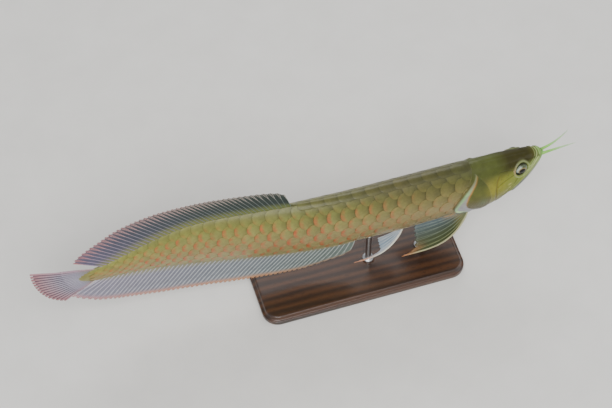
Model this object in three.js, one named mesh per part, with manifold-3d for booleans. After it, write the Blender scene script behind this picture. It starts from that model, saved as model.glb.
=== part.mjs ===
// A silver arowana, life size, swimming level in a gentle S, held over a flat base by two short rods.
// Millimetres, +Z up. The head points towards +X and the fish's left side towards +Y. The origin is the
// middle of the base's underside. Heights along the fish are over its axis, which lies AXIS_HEIGHT up.
import * as THREE from "three";
import { mergeVertices } from "three/addons/utils/BufferGeometryUtils.js";
import Module from "manifold-3d";

const wasm = await Module();
wasm.setup();

// Driving sizes. A station is the distance along the body from the chin's tip towards the tail.
const TOTAL_LENGTH = 700;
const AXIS_HEIGHT = 124;
const NAPE = 98;
const TAIL_START = 267;
const BODY_END = 618;
const GAP = 0.3;
const SIDES = [["left", 1], ["right", -1]];

// The body's outline: [station, value] pairs, each joined by a smooth curve.
const BACK = [
  [0, 35], [4, 38.5], [15, 42], [30, 45], [50, 48], [75, 51], [105, 53], [140, 54], [210, 55],
  [280, 55], [340, 55], [400, 53.5], [450, 51], [485, 47], [515, 40.5], [545, 32], [575, 23], [604, 16],
  [640, 12],
];
const BELLY = [
  [0, 31], [3, 22], [8, 12], [16, 1], [28, -11], [45, -24], [65, -35], [90, -44], [115, -49.5],
  [140, -53], [200, -57], [270, -56.5], [330, -54], [400, -49.5], [450, -45], [490, -39.5], [520, -33.5],
  [550, -26], [580, -19], [604, -14], [640, -10],
];
const HALF_WIDTH = [
  [0, 2.5], [3, 6], [8, 9.5], [16, 12.5], [28, 15.8], [45, 19], [65, 21.5], [90, 23], [125, 24],
  [160, 24], [230, 23.5], [300, 22.5], [370, 20.5], [434, 17.5], [488, 14], [530, 10.5], [570, 7.5],
  [604, 5.4], [640, 3.8],
];
const WIDEST_LEVEL = [
  [0, 33.5], [16, 29], [45, 17], [90, 9], [140, 8], [250, 10], [400, 8], [520, 5], [640, 1.5],
];
const BACK_BLUNTNESS = [[0, 0.42], [120, 0.48], [200, 0.55], [300, 0.62], [380, 0.85], [640, 0.8]];
const BELLY_SHARPNESS = [[0, 0.55], [60, 0.62], [140, 0.85], [250, 0.85], [300, 0.62], [640, 0.55]];
// Degrees that the body's axis turns away from the X axis, which gives the swimming curve.
const HEADING = [
  [0, 5], [60, 4], [95, 1], [150, 0], [250, -1], [300, -4], [346, -5.8], [400, -7.5], [440, -7], [480, -4],
  [510, 0], [545, 3], [590, 5.5], [625, 3], [700, 0],
];

const radians = THREE.MathUtils.degToRad;
const clamp = THREE.MathUtils.clamp;
const lerp = THREE.MathUtils.lerp;
const range = (from, to, count) => Array.from({ length: count + 1 }, (_, i) => lerp(from, to, i / count));

// A monotone cubic curve through the pairs, so that no outline overshoots its points.
function smooth(pairs) {
  const count = pairs.length;
  const slope = pairs.slice(1).map(([x, y], i) => (y - pairs[i][1]) / (x - pairs[i][0]));
  const tangent = pairs.map((_, i) => {
    if (i === 0) return slope[0];
    if (i === count - 1) return slope[count - 2];
    const [before, after] = [slope[i - 1], slope[i]];
    return before * after <= 0 ? 0 : (2 * before * after) / (before + after);
  });
  return (x) => {
    const i = clamp(pairs.findIndex(([start]) => start > x) - 1, 0, count - 2);
    const at = x >= pairs[count - 1][0] ? count - 2 : i;
    const width = pairs[at + 1][0] - pairs[at][0];
    const t = clamp((x - pairs[at][0]) / width, 0, 1);
    const [t2, t3] = [t * t, t * t * t];
    return (
      (2 * t3 - 3 * t2 + 1) * pairs[at][1] +
      (t3 - 2 * t2 + t) * width * tangent[at] +
      (3 * t2 - 2 * t3) * pairs[at + 1][1] +
      (t3 - t2) * width * tangent[at + 1]
    );
  };
}

const back = smooth(BACK);
const belly = smooth(BELLY);
const halfWidth = smooth(HALF_WIDTH);
const widestLevel = smooth(WIDEST_LEVEL);
const backBluntness = smooth(BACK_BLUNTNESS);
const bellySharpness = smooth(BELLY_SHARPNESS);
const heading = smooth(HEADING);

// The body's axis in plan, stepped along the headings. The origin lies under station BASE_STATION.
const BASE_STATION = 262;
const SPINE_STEP = 1;
const spine = [[0, 0]];
for (let s = 0; s < TOTAL_LENGTH; s += SPINE_STEP) {
  const turn = radians(heading(s + SPINE_STEP / 2));
  const [x, y] = spine[spine.length - 1];
  spine.push([x - Math.cos(turn) * SPINE_STEP, y - Math.sin(turn) * SPINE_STEP]);
}
const origin = spine[BASE_STATION / SPINE_STEP];

// A point of the fish: station, distance to its left, height over its axis.
function place(s, left, up) {
  const index = clamp(Math.floor(s / SPINE_STEP), 0, spine.length - 1);
  const [x, y] = spine[index];
  const turn = radians(heading(clamp(s, 0, TOTAL_LENGTH)));
  const past = s - index * SPINE_STEP;
  return new THREE.Vector3(
    x - origin[0] - Math.cos(turn) * past - Math.sin(turn) * left,
    y - origin[1] - Math.sin(turn) * past + Math.cos(turn) * left,
    AXIS_HEIGHT + up,
  );
}

// Half of the body's width at a height over the axis.
const BACK_POWER = 2.4;
const BELLY_POWER = 1.8;
function flank(s, up) {
  const level = widestLevel(s);
  const edge = up > level ? back(s) : belly(s);
  const t = clamp((up - level) / (edge - level), 0, 1);
  if (up > level) return halfWidth(s) * (1 - t ** BACK_POWER) ** backBluntness(s);
  return halfWidth(s) * (1 - t ** BELLY_POWER) ** bellySharpness(s);
}

// The flank's outline at a station, from the ridge of the back to the keel of the belly, with its length.
const SECTION_STEPS = 48;
const sections = new Map();
function section(s) {
  if (sections.has(s)) return sections.get(s);
  const [top, bottom, level] = [back(s), belly(s), widestLevel(s)];
  const line = [];
  let length = 0;
  for (let i = 0; i <= SECTION_STEPS; i++) {
    const angle = (Math.PI * i) / SECTION_STEPS;
    const up = level + Math.cos(angle) * (angle < Math.PI / 2 ? top - level : level - bottom);
    const out = i % SECTION_STEPS === 0 ? 0 : flank(s, up);
    if (i) length += Math.hypot(out - line[i - 1].out, up - line[i - 1].up);
    line.push({ out, up, length });
  }
  sections.set(s, line);
  return line;
}

// A point of the body's skin. v runs from 0 on the ridge to 1 on the keel, and side is 1 on the left, -1 on
// the right. The point may stand proud of the skin by a lift.
const NEAR_STATION = 1;
const NEAR_SHARE = 0.01;
function skin(s, v, side, lift = 0) {
  const at = (station, share) => {
    const line = section(station);
    const wanted = share * line[SECTION_STEPS].length;
    const i = clamp(line.findIndex((p) => p.length >= wanted), 1, SECTION_STEPS);
    const t = (wanted - line[i - 1].length) / (line[i].length - line[i - 1].length || 1);
    return place(station, side * lerp(line[i - 1].out, line[i].out, t), lerp(line[i - 1].up, line[i].up, t));
  };
  const point = at(s, v);
  if (!lift) return point;
  if (v === 0 || v === 1) return point.add(new THREE.Vector3(0, 0, v ? -lift : lift));
  const along = at(s + NEAR_STATION, v).sub(at(Math.max(s - NEAR_STATION, 0), v));
  const down = at(s, Math.min(v + NEAR_SHARE, 1)).sub(at(s, Math.max(v - NEAR_SHARE, 0)));
  const normal = down.cross(along).multiplyScalar(side).normalize();
  return point.addScaledVector(normal, lift);
}

// A closed geometry becomes a solid that can be joined and cut. Its faces are turned to point out.
const SAME_POINT = 1e-4;
function solidOf(geometry) {
  const bare = geometry.clone();
  bare.deleteAttribute("normal");
  bare.deleteAttribute("uv");
  const merged = mergeVertices(bare, SAME_POINT);
  const vertProperties = merged.attributes.position.array;
  const make = (triVerts) => new wasm.Manifold(new wasm.Mesh({ numProp: 3, vertProperties, triVerts }));
  const faces = Uint32Array.from(merged.index.array);
  const solid = make(faces);
  return solid.volume() > 0 ? solid : make(faces.reverse());
}

function shell(points, faces) {
  const geometry = new THREE.BufferGeometry().setFromPoints(points);
  geometry.setIndex(faces.flat());
  return solidOf(geometry);
}

const joined = (solids) => solids.reduce((sum, each) => sum.add(each));

// The largest closed body, which drops a loose scrap of a cut.
function largest(solid) {
  const bodies = solid.decompose();
  return bodies.reduce((best, each) => (each.volume() > best.volume() ? each : best));
}

const model = new THREE.Group();

// Adds a node. Its own origin is its root on the body.
function addNode(name, solid, material, root) {
  const made = largest(solid).getMesh();
  const geometry = new THREE.BufferGeometry();
  geometry.setAttribute("position", new THREE.BufferAttribute(new Float32Array(made.vertProperties), 3));
  geometry.setIndex(new THREE.BufferAttribute(new Uint32Array(made.triVerts), 1));
  geometry.translate(-root.x, -root.y, -root.z);
  const mesh = new THREE.Mesh(geometry, material);
  mesh.name = name;
  mesh.position.copy(root);
  model.add(mesh);
}

const finish = (color, roughness, metalness = 0) =>
  new THREE.MeshStandardMaterial({ color, roughness, metalness });
const materials = {
  head: finish("#6f7238", 0.38),
  jaw: finish("#8f9a5c", 0.38),
  scales: finish("#8d8350", 0.35),
  gill: finish("#9a9572", 0.32),
  eye: finish("#14180f", 0.08),
  barbel: finish("#7fae5c", 0.4),
  fin: finish("#8c9692", 0.45),
  base: finish("#2a2522", 0.5),
  rod: finish("#9a9b9c", 0.3, 1),
};

// The smooth body: rings of points on the skin, closed by a cap at each end.
const RING_HALF = 12;
function smoothBody(stations, lift = 0, forward = 0) {
  const points = [];
  const faces = [];
  const ring = 2 * RING_HALF;
  for (const s of stations)
    for (let k = 0; k < ring; k++) {
      const left = k > RING_HALF;
      const point = skin(s, left ? (ring - k) / RING_HALF : k / RING_HALF, left ? 1 : -1, lift);
      points.push(point.setX(point.x + forward));
    }
  for (let i = 0; i + 1 < stations.length; i++)
    for (let k = 0; k < ring; k++) {
      const [a, b] = [i * ring + k, i * ring + ((k + 1) % ring)];
      faces.push([a, a + ring, b + ring], [a, b + ring, b]);
    }
  const first = stations[0];
  const last = stations[stations.length - 1];
  const front = points.push(place(first - forward, 0, (back(first) + belly(first)) / 2)) - 1;
  const rear = points.push(place(last, 0, (back(last) + belly(last)) / 2)) - 1;
  const start = (stations.length - 1) * ring;
  for (let k = 0; k < ring; k++) {
    const next = (k + 1) % ring;
    faces.push([front, k, next], [rear, start + next, start + k]);
  }
  return shell(points, faces);
}

// A cutter through the fish from side to side: an outline of [station, height] pairs, pushed through in Y.
const CUTTER_REACH = 60;
const CUTTER_TOP = 90;
function through(outline, from = -CUTTER_REACH, to = CUTTER_REACH) {
  const shape = new THREE.Shape(outline.map(([s, up]) => new THREE.Vector2(s, up)));
  const geometry = new THREE.ExtrudeGeometry(shape, { depth: to - from, bevelEnabled: false });
  const position = geometry.attributes.position;
  for (let i = 0; i < position.count; i++) {
    const point = place(position.getX(i), from + position.getZ(i), position.getY(i));
    position.setXYZ(i, point.x, point.y, point.z);
  }
  return solidOf(geometry);
}

// The gill opening in side view, from over the nape to under the throat.
const GILL_LINE = [
  [NAPE, CUTTER_TOP], [100, 54], [104, 42], [112, 30], [121, 17], [128, 3], [131, -10], [128, -22],
  [117, -31], [103, -38], [92, -43], [78, -CUTTER_TOP],
];
const PAST_TRUNK = TAIL_START + 30;
const behindGills = (clearance) =>
  through([
    ...GILL_LINE.map(([s, up]) => [s + clearance, up]),
    [PAST_TRUNK, -CUTTER_TOP],
    [PAST_TRUNK, CUTTER_TOP],
  ]);

// The big scales, raised in the body's own surface. Each scale rises towards its hind edge, and every other
// row is set back by half a scale, so the hind edges meet in points as overlapping scales do.
const SCALES = {
  start: 82, end: 640, columns: 32, first: 22, last: 13, rows: 7, rise: 0.9, edge: 0.3, step: 0.05,
};
function scaledBody(lift = 0) {
  const starts = range(0, 1, SCALES.columns + 1).map((t) => {
    const grown = (SCALES.first * t + ((SCALES.last - SCALES.first) * t * t) / 2) * 2;
    return lerp(SCALES.start, SCALES.end, grown / (SCALES.first + SCALES.last));
  });
  const along = (x) => {
    const i = clamp(Math.floor(x), 0, SCALES.columns);
    return lerp(starts[i], starts[i + 1], x - i);
  };
  // The lines that run along the flank, from ridge to keel. Those with a row run down its middle.
  const lines = [{ v: 0, row: -1 }];
  for (let row = 0; row < SCALES.rows; row++)
    lines.push({ v: (row + 0.5) / SCALES.rows, row }, { v: (row + 1) / SCALES.rows, row: -1 });
  const half = lines.length - 1;
  const ring = 2 * half;
  const count = 2 * SCALES.columns;
  const points = [];
  const faces = [];
  for (let k = 0; k < count; k++)
    for (let n = 0; n < ring; n++) {
      const line = lines[n > half ? ring - n : n];
      const hind = line.row >= 0 && (k + line.row) % 2 === 1;
      const phase = line.row < 0 ? 0.25 : hind ? 0.5 - SCALES.step : SCALES.step;
      const rise = line.row < 0 ? SCALES.edge : hind ? SCALES.rise : 0;
      points.push(skin(along(k / 2 + phase), line.v, n > half ? 1 : -1, rise + lift));
    }
  for (let k = 0; k + 1 < count; k++)
    for (let n = 0; n < ring; n++) {
      const [a, b] = [k * ring + n, k * ring + ((n + 1) % ring)];
      if (n % 2) faces.push([a, a + ring, b], [a + ring, b + ring, b]);
      else faces.push([a, a + ring, b + ring], [a, b + ring, b]);
    }
  const caps = [place(SCALES.start, 0, 0), place(along(SCALES.columns - 0.25), 0, 0)];
  const ends = caps.map((point) => points.push(point) - 1);
  for (let n = 0; n < ring; n++) {
    const next = (n + 1) % ring;
    const start = (count - 1) * ring;
    faces.push([ends[0], n, next], [ends[1], start + next, start + n]);
  }
  return shell(points, faces);
}

const HEAD_STATIONS = [0, 1.5, 4, 8, 13, 19, 26, 34, 42, 51, 60, 70, 80, 90, 100, 110, 120, 130, 142, 150];
const headBlock = smoothBody(HEAD_STATIONS);
const bodyBlock = scaledBody();
const bodyClearance = scaledBody(GAP);

// The eyes: flattened balls set in sockets and turned to look out sideways.
const EYE = { station: 36, up: 30, radius: 9.2, depth: 6, sink: 3, meridians: 16, parallels: 8 };
function eyeSolid(side, extra) {
  const ball = new THREE.SphereGeometry(1, EYE.meridians, EYE.parallels);
  ball.scale(EYE.radius + extra, EYE.depth + extra, EYE.radius + extra);
  const out = flank(EYE.station, EYE.up);
  const centre = place(EYE.station, side * (out - EYE.sink), EYE.up);
  ball.rotateZ(radians(heading(EYE.station)));
  ball.translate(centre.x, centre.y, centre.z);
  return solidOf(ball);
}

// The lower jaw is parted from the head along the steep mouth line and in front of the throat.
const MOUTH_LINE = [[-12, 46], [0, 36.2], [14, 24.5], [34, 9], [52, -9]];
const JAW_HINGE = [[60, -24], [66, -CUTTER_TOP]];
const jawRegion = (clearance) =>
  through([
    ...[...MOUTH_LINE, ...JAW_HINGE].map(([s, up]) => [s - clearance, up - clearance]),
    [MOUTH_LINE[0][0], -CUTTER_TOP],
  ]);

// The gill cover in side view: a plate from its front edge back past the gill opening, which trims it. It
// starts at a distance from the middle plane and stands proud of the skin.
const GILL_PLATE = [
  [84, 20], [88, 32], [98, 40], [150, 40], [150, -44], [104, -44], [92, -38], [85, -22], [82, 0],
];
const GILL_MIDDLE = [104, 0];
const GILL_DEPTH = 9;
const GILL_LIFT = 1.2;
const gillPlate = (inset) =>
  GILL_PLATE.map(([s, up]) => {
    const [ds, dup] = [s - GILL_MIDDLE[0], up - GILL_MIDDLE[1]];
    const shrink = 1 - inset / Math.hypot(ds, dup);
    return [GILL_MIDDLE[0] + ds * shrink, GILL_MIDDLE[1] + dup * shrink];
  });

// The folds round the mouth: a band over the mouth line and one under it, standing proud of the skin.
const LIP = { lift: 1.1, wide: 5, slope: 0.8 };
const lipBand = (near, far) => {
  const shift = (d) => MOUTH_LINE.map(([s, up]) => [s + d, up + d * LIP.slope]);
  return through([...shift(near), ...shift(far).reverse()]);
};

// The lid: a ring raised round each eye, open at its middle for the eyeball.
const LID = { lift: 1.6, radius: 12.2, sides: 16 };
const lidOutline = range(0, 2 * Math.PI, LID.sides)
  .slice(1)
  .map((angle) => [EYE.station + LID.radius * Math.cos(angle), EYE.up + LID.radius * Math.sin(angle)]);

// The nostrils: two small rims on each side of the snout, each with a pit near its top.
const NOSTRILS = [{ station: 7, up: 36.5, size: 1.5 }, { station: 15, up: 38.5, size: 1.3 }];
const RIM = { meridians: 8, parallels: 4 };
const PIT = { size: 0.55, out: 0.75, up: 0.5 };
function nostril({ station, up, size }, side, pit) {
  const ball = new THREE.SphereGeometry(pit ? size * PIT.size : size, RIM.meridians, RIM.parallels);
  const out = flank(station, up);
  const centre = place(station, side * (out + (pit ? size * PIT.out : 0)), up + (pit ? size * PIT.up : 0));
  ball.translate(centre.x, centre.y, centre.z);
  return solidOf(ball);
}

const onSide = (outline, side, near, far) => through(outline, ...(side > 0 ? [near, far] : [-far, -near]));

function buildHead() {
  const liftedLip = smoothBody(HEAD_STATIONS, LIP.lift, LIP.lift);
  const upperLip = liftedLip.intersect(lipBand(GAP / 2, LIP.wide));
  const lowerLip = liftedLip.intersect(lipBand(-LIP.wide, -GAP / 2));
  const lids = smoothBody(HEAD_STATIONS, LID.lift).intersect(through(lidOutline));
  const nostrils = (pit) => SIDES.flatMap(([, side]) => NOSTRILS.map((each) => nostril(each, side, pit)));
  const sockets = joined(SIDES.map(([, side]) => eyeSolid(side, GAP)));
  const pockets = joined(SIDES.map(([, side]) => onSide(gillPlate(0), side, GILL_DEPTH, CUTTER_REACH)));
  const skull = joined([headBlock, upperLip, lids, ...nostrils(false)])
    .subtract(joined([jawRegion(-GAP / 2), behindGills(-GAP / 2), sockets, pockets, ...nostrils(true)]));
  addNode("head", skull, materials.head, place(NAPE, 0, 0));

  const jaw = headBlock.add(lowerLip).intersect(jawRegion(GAP / 2)).subtract(sockets);
  const hinge = JAW_HINGE[0];
  addNode("lower_jaw", jaw, materials.jaw, place(hinge[0], 0, hinge[1]));

  const lifted = smoothBody(HEAD_STATIONS, GILL_LIFT).subtract(behindGills(-GAP / 2));
  for (const [name, side] of SIDES) {
    const cover = lifted.intersect(onSide(gillPlate(GAP), side, GILL_DEPTH + GAP, CUTTER_REACH));
    const [s, up] = GILL_PLATE[GILL_PLATE.length - 1];
    addNode("gill_cover_" + name, cover, materials.gill, place(s, side * flank(s, up), up));
    const socket = place(EYE.station, side * flank(EYE.station, EYE.up), EYE.up);
    addNode("eye_" + name, eyeSolid(side, 0), materials.eye, socket);
  }
}

const slabBetween = (from, to) =>
  through([[from, CUTTER_TOP], [from, -CUTTER_TOP], [to, -CUTTER_TOP], [to, CUTTER_TOP]]);

function buildBody() {
  const trunk = bodyBlock.intersect(behindGills(GAP / 2)).subtract(slabBetween(TAIL_START, TOTAL_LENGTH));
  addNode("trunk", trunk, materials.scales, place(NAPE, 0, 0));
  const tail = bodyBlock.intersect(slabBetween(TAIL_START + GAP, BODY_END));
  addNode("tail", tail, materials.scales, place(TAIL_START, 0, 0));
}

// A thin fin as a grid of columns, each a list of {centre, thick} from root to tip. It is thickened square to
// its columns and to the chord of each row, and both faces are split into triangles alike.
function finSolid(columns) {
  const rows = columns[0].length;
  const points = [];
  for (const column of columns)
    column.forEach(({ centre, thick }, j) => {
      const chord = columns[columns.length - 1][j].centre.clone().sub(columns[0][j].centre);
      const along = column[Math.min(j + 1, rows - 1)].centre.clone().sub(column[Math.max(j - 1, 0)].centre);
      const normal = chord.cross(along).normalize();
      for (const half of [thick / 2, -thick / 2]) points.push(centre.clone().addScaledVector(normal, half));
    });
  const at = (i, j, face) => 2 * (i * rows + j) + face;
  const faces = [];
  const quad = (a, b, c, d) => faces.push([a, b, c], [a, c, d]);
  for (let i = 0; i + 1 < columns.length; i++)
    for (let j = 0; j + 1 < rows; j++) {
      quad(at(i, j, 0), at(i + 1, j, 0), at(i + 1, j + 1, 0), at(i, j + 1, 0));
      const [a, b, c, d] = [at(i, j, 1), at(i + 1, j, 1), at(i + 1, j + 1, 1), at(i, j + 1, 1)];
      faces.push([a, c, b], [a, d, c]);
    }
  for (let i = 0; i + 1 < columns.length; i++) {
    quad(at(i, 0, 1), at(i + 1, 0, 1), at(i + 1, 0, 0), at(i, 0, 0));
    quad(at(i, rows - 1, 0), at(i + 1, rows - 1, 0), at(i + 1, rows - 1, 1), at(i, rows - 1, 1));
  }
  const last = columns.length - 1;
  for (let j = 0; j + 1 < rows; j++) {
    quad(at(0, j, 0), at(0, j + 1, 0), at(0, j + 1, 1), at(0, j, 1));
    quad(at(last, j, 1), at(last, j + 1, 1), at(last, j + 1, 0), at(last, j, 0));
  }
  return shell(points, faces);
}

// A ray of a fin is three columns: the membrane on each side of it, and the ray itself, which stands proud of
// the membrane on both faces and reaches a little past its edge.
const RAY = { wide: 0.36, membrane: 0.55, reach: 1.045 };
const rayColumns = (count) =>
  range(0, count - 1, count - 1)
    .flatMap((i) => [i - RAY.wide, i, i + RAY.wide].map((x) => ({ f: x / (count - 1), crest: x === i })))
    .filter(({ f }) => f >= 0 && f <= 1);

// The dorsal and anal fins: rays rise from the back or hang from the belly and lean towards the tail.
const DORSAL = {
  name: "dorsal_fin", up: 1, start: 352, end: 608, rays: 35, sway: 3, tilt: 0.14,
  height: smooth([
    [352, 9], [358, 18], [372, 25], [395, 28], [440, 31], [500, 34], [550, 37], [580, 35], [608, 26],
  ]),
  lean: smooth([[352, 25], [400, 36], [500, 42], [560, 46], [608, 50]]),
};
const ANAL = {
  name: "anal_fin", up: -1, start: 275, end: 611, rays: 42, sway: 3, tilt: -0.21,
  height: smooth([
    [275, 10], [284, 20], [305, 27], [350, 32], [400, 36], [450, 39], [500, 41], [550, 41], [590, 36],
    [611, 27],
  ]),
  lean: smooth([[275, 30], [300, 40], [400, 42], [560, 42], [611, 43]]),
};
const FIN_ROOT = { depth: 3, membrane: 2 };
const FIN_ROWS = [{ share: 0.4, ray: 1.7 }, { share: 0.8, ray: 1.1 }, { share: 1, ray: 0.7 }];
const SWAY = { length: 260, growth: 1.5 };
function medianFin(fin) {
  const edge = fin.up > 0 ? back : belly;
  const columns = rayColumns(fin.rays).map(({ f, crest }) => {
    const s = lerp(fin.start, fin.end, f);
    const tall = fin.height(s) * (crest ? RAY.reach : 1);
    const slant = Math.tan(radians(fin.lean(s)));
    const root = place(s, 0, edge(s) - fin.up * FIN_ROOT.depth);
    const rest = FIN_ROWS.map(({ share, ray }) => {
      const rise = share * tall;
      const station = s + rise * slant;
      const sway = fin.sway * Math.sin((2 * Math.PI * station) / SWAY.length) * share ** SWAY.growth;
      const centre = place(station, rise * fin.tilt + sway, edge(s) + fin.up * rise);
      return { centre, thick: crest ? ray : RAY.membrane };
    });
    return [{ centre: root, thick: crest ? FIN_ROOT.depth : FIN_ROOT.membrane }, ...rest];
  });
  return finSolid(columns);
}

// The tail fin: rays fan out from the end of the body, and the upper ones are the longest.
const CAUDAL = {
  rays: 15, rootHalf: 12, rootLevel: 1.5,
  angle: smooth([[0, 19], [0.5, -3], [1, -31]]),
  length: smooth([[0, 84], [0.35, 76], [0.7, 66], [1, 54]]),
};
const CAUDAL_ROWS = [
  { share: 0, ray: 5, membrane: 3 }, { share: 0.28, ray: 3, membrane: 1.8 },
  { share: 0.6, ray: 1.9, membrane: 0.6 }, { share: 0.88, ray: 1.1, membrane: 0.55 },
  { share: 1, ray: 0.7, membrane: 0.55 },
];
function caudalFin() {
  const columns = rayColumns(CAUDAL.rays).map(({ f, crest }) => {
    const angle = radians(CAUDAL.angle(f));
    const length = CAUDAL.length(f) * (crest ? RAY.reach : 1);
    const rootUp = CAUDAL.rootLevel + CAUDAL.rootHalf * (1 - 2 * f);
    return CAUDAL_ROWS.map(({ share, ray, membrane }) => {
      const run = share * length;
      const station = Math.min(BODY_END + GAP + run * Math.cos(angle), TOTAL_LENGTH);
      return { centre: place(station, 0, rootUp + run * Math.sin(angle)), thick: crest ? ray : membrane };
    });
  });
  return finSolid(columns);
}

// A paired fin: rays fan out from a short root on the flank. The first is the longest and curves back.
const PECTORAL = {
  name: "pectoral_fin_", rays: 7, root: [[101, -43.5], [110, -40]], rootOut: -1.5, bow: 3.5, thickest: 3.2,
  length: smooth([[0, 103], [0.17, 84], [0.5, 77], [1, 70]]),
  outward: smooth([[0, 34.5], [0.33, 24], [0.66, 11], [1, 2]]),
  down: smooth([[0, 22], [0.33, 14.5], [0.66, 6.5], [1, 1]]),
};
const PELVIC = {
  name: "pelvic_fin_", rays: 6, root: [[196, -54], [204, -53]], rootOut: -1, bow: 2.8, thickest: 2.6,
  length: smooth([[0, 72], [0.2, 34], [0.6, 31], [1, 28]]),
  outward: smooth([[0, 22], [0.4, 15.5], [1, 4]]),
  down: smooth([[0, 19], [0.4, 13.5], [1, 4]]),
};
const PAIRED = { shares: [0, 0.1, 0.25, 0.5, 0.78, 1], rootMembrane: 2, tip: 0.6, splay: 1.5 };
function pairedFin(fin, side) {
  const [[rootStart, lowest], [rootEnd, highest]] = fin.root;
  const columns = rayColumns(fin.rays).map(({ f, crest }) => {
    const [rootStation, rootUp] = [lerp(rootStart, rootEnd, f), lerp(lowest, highest, f)];
    const rootOut = flank(rootStation, rootUp) + fin.rootOut;
    const length = fin.length(f) * (crest ? RAY.reach : 1);
    return PAIRED.shares.map((share) => {
      const run = length * share;
      const spread = 1 - clamp(1 - run / fin.length(0), 0, 1) ** fin.bow;
      const out = rootOut + (share ? PAIRED.splay : 0) + fin.outward(f) * spread;
      const centre = place(rootStation + run, side * out, rootUp - fin.down(f) * spread);
      const membrane = share ? RAY.membrane : PAIRED.rootMembrane;
      return { centre, thick: crest ? lerp(fin.thickest, PAIRED.tip, Math.sqrt(share)) : membrane };
    });
  });
  return finSolid(columns);
}

function buildFins() {
  for (const fin of [DORSAL, ANAL]) {
    const root = place(fin.start, 0, (fin.up > 0 ? back : belly)(fin.start));
    addNode(fin.name, medianFin(fin).subtract(bodyClearance), materials.fin, root);
  }
  addNode("caudal_fin", caudalFin(), materials.fin, place(BODY_END, 0, 0));
  for (const fin of [PECTORAL, PELVIC])
    for (const [name, side] of SIDES) {
      const [s, up] = fin.root[0];
      const root = place(s, side * flank(s, up), up);
      addNode(fin.name + name, pairedFin(fin, side).subtract(bodyClearance), materials.fin, root);
    }
}

// The barbels: two tapered feelers on the chin, reaching forward and curling up a little.
const BARBEL = {
  root: 2.5, out: 3.4, up: 31, length: 46, spread: 8, rise: 11, radius: 2.3, taper: 0.8, point: 2,
  sides: 8, steps: 9,
};
function barbel(side) {
  const { sides, steps } = BARBEL;
  const along = (t) => [
    BARBEL.root - BARBEL.length * t,
    side * (BARBEL.out + BARBEL.spread * t * t),
    BARBEL.up + BARBEL.rise * t * t,
  ];
  const points = range(0, 1, steps).flatMap((t) => {
    const radius = BARBEL.radius * (1 - BARBEL.taper * t);
    const [s, left, up] = along(t);
    return range(0, 2 * Math.PI, sides)
      .slice(1)
      .map((angle) => place(s, left + radius * Math.cos(angle), up + radius * Math.sin(angle)));
  });
  const [s, left, up] = along(1);
  const tip = points.push(place(s - BARBEL.point, left, up)) - 1;
  const root = points.push(place(...along(0))) - 1;
  const faces = [];
  for (let k = 0; k < sides; k++) {
    const next = (k + 1) % sides;
    for (let i = 0; i < steps; i++) {
      const [a, b] = [i * sides + k, i * sides + next];
      faces.push([a, b, b + sides], [a, b + sides, a + sides]);
    }
    faces.push([tip, steps * sides + k, steps * sides + next], [root, next, k]);
  }
  return shell(points, faces);
}

function buildBarbels() {
  const headClearance = smoothBody(HEAD_STATIONS, LIP.lift + GAP, LIP.lift + GAP);
  for (const [name, side] of SIDES) {
    const root = place(0, side * BARBEL.out, BARBEL.up);
    addNode("barbel_" + name, barbel(side).subtract(headClearance), materials.barbel, root);
  }
}

// The stand: a flat base with rounded corners and an eased edge, and two round rods up to the belly.
const BASE = { length: 290, width: 120, thick: 12, corner: 22, ease: 1.5 };
const RODS = [["stand_rod_front", 168], ["stand_rod_rear", 243]];
const ROD = { radius: 4, sides: 20 };
function buildStand() {
  const [x, y] = [BASE.length / 2 - BASE.ease, BASE.width / 2 - BASE.ease];
  const outline = new THREE.Shape();
  outline.moveTo(-x + BASE.corner, -y);
  outline.lineTo(x - BASE.corner, -y);
  outline.absarc(x - BASE.corner, -y + BASE.corner, BASE.corner, -Math.PI / 2, 0);
  outline.lineTo(x, y - BASE.corner);
  outline.absarc(x - BASE.corner, y - BASE.corner, BASE.corner, 0, Math.PI / 2);
  outline.lineTo(-x + BASE.corner, y);
  outline.absarc(-x + BASE.corner, y - BASE.corner, BASE.corner, Math.PI / 2, Math.PI);
  outline.lineTo(-x, -y + BASE.corner);
  outline.absarc(-x + BASE.corner, -y + BASE.corner, BASE.corner, Math.PI, 1.5 * Math.PI);
  const plate = new THREE.ExtrudeGeometry(outline, {
    depth: BASE.thick - 2 * BASE.ease,
    bevelThickness: BASE.ease,
    bevelSize: BASE.ease,
    bevelSegments: 1,
    curveSegments: 4,
  });
  plate.translate(0, 0, BASE.ease);
  addNode("stand_base", solidOf(plate), materials.base, new THREE.Vector3());
  for (const [name, s] of RODS) {
    const foot = place(s, 0, 0);
    const tall = AXIS_HEIGHT - BASE.thick - GAP;
    const rod = new THREE.CylinderGeometry(ROD.radius, ROD.radius, tall, ROD.sides);
    rod.rotateX(Math.PI / 2);
    rod.translate(foot.x, foot.y, BASE.thick + GAP + tall / 2);
    const root = new THREE.Vector3(foot.x, foot.y, BASE.thick);
    addNode(name, solidOf(rod).subtract(bodyClearance), materials.rod, root);
  }
}

buildHead();
buildBody();
buildFins();
buildBarbels();
buildStand();

export default model;
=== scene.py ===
import math
from functools import partial

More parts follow.
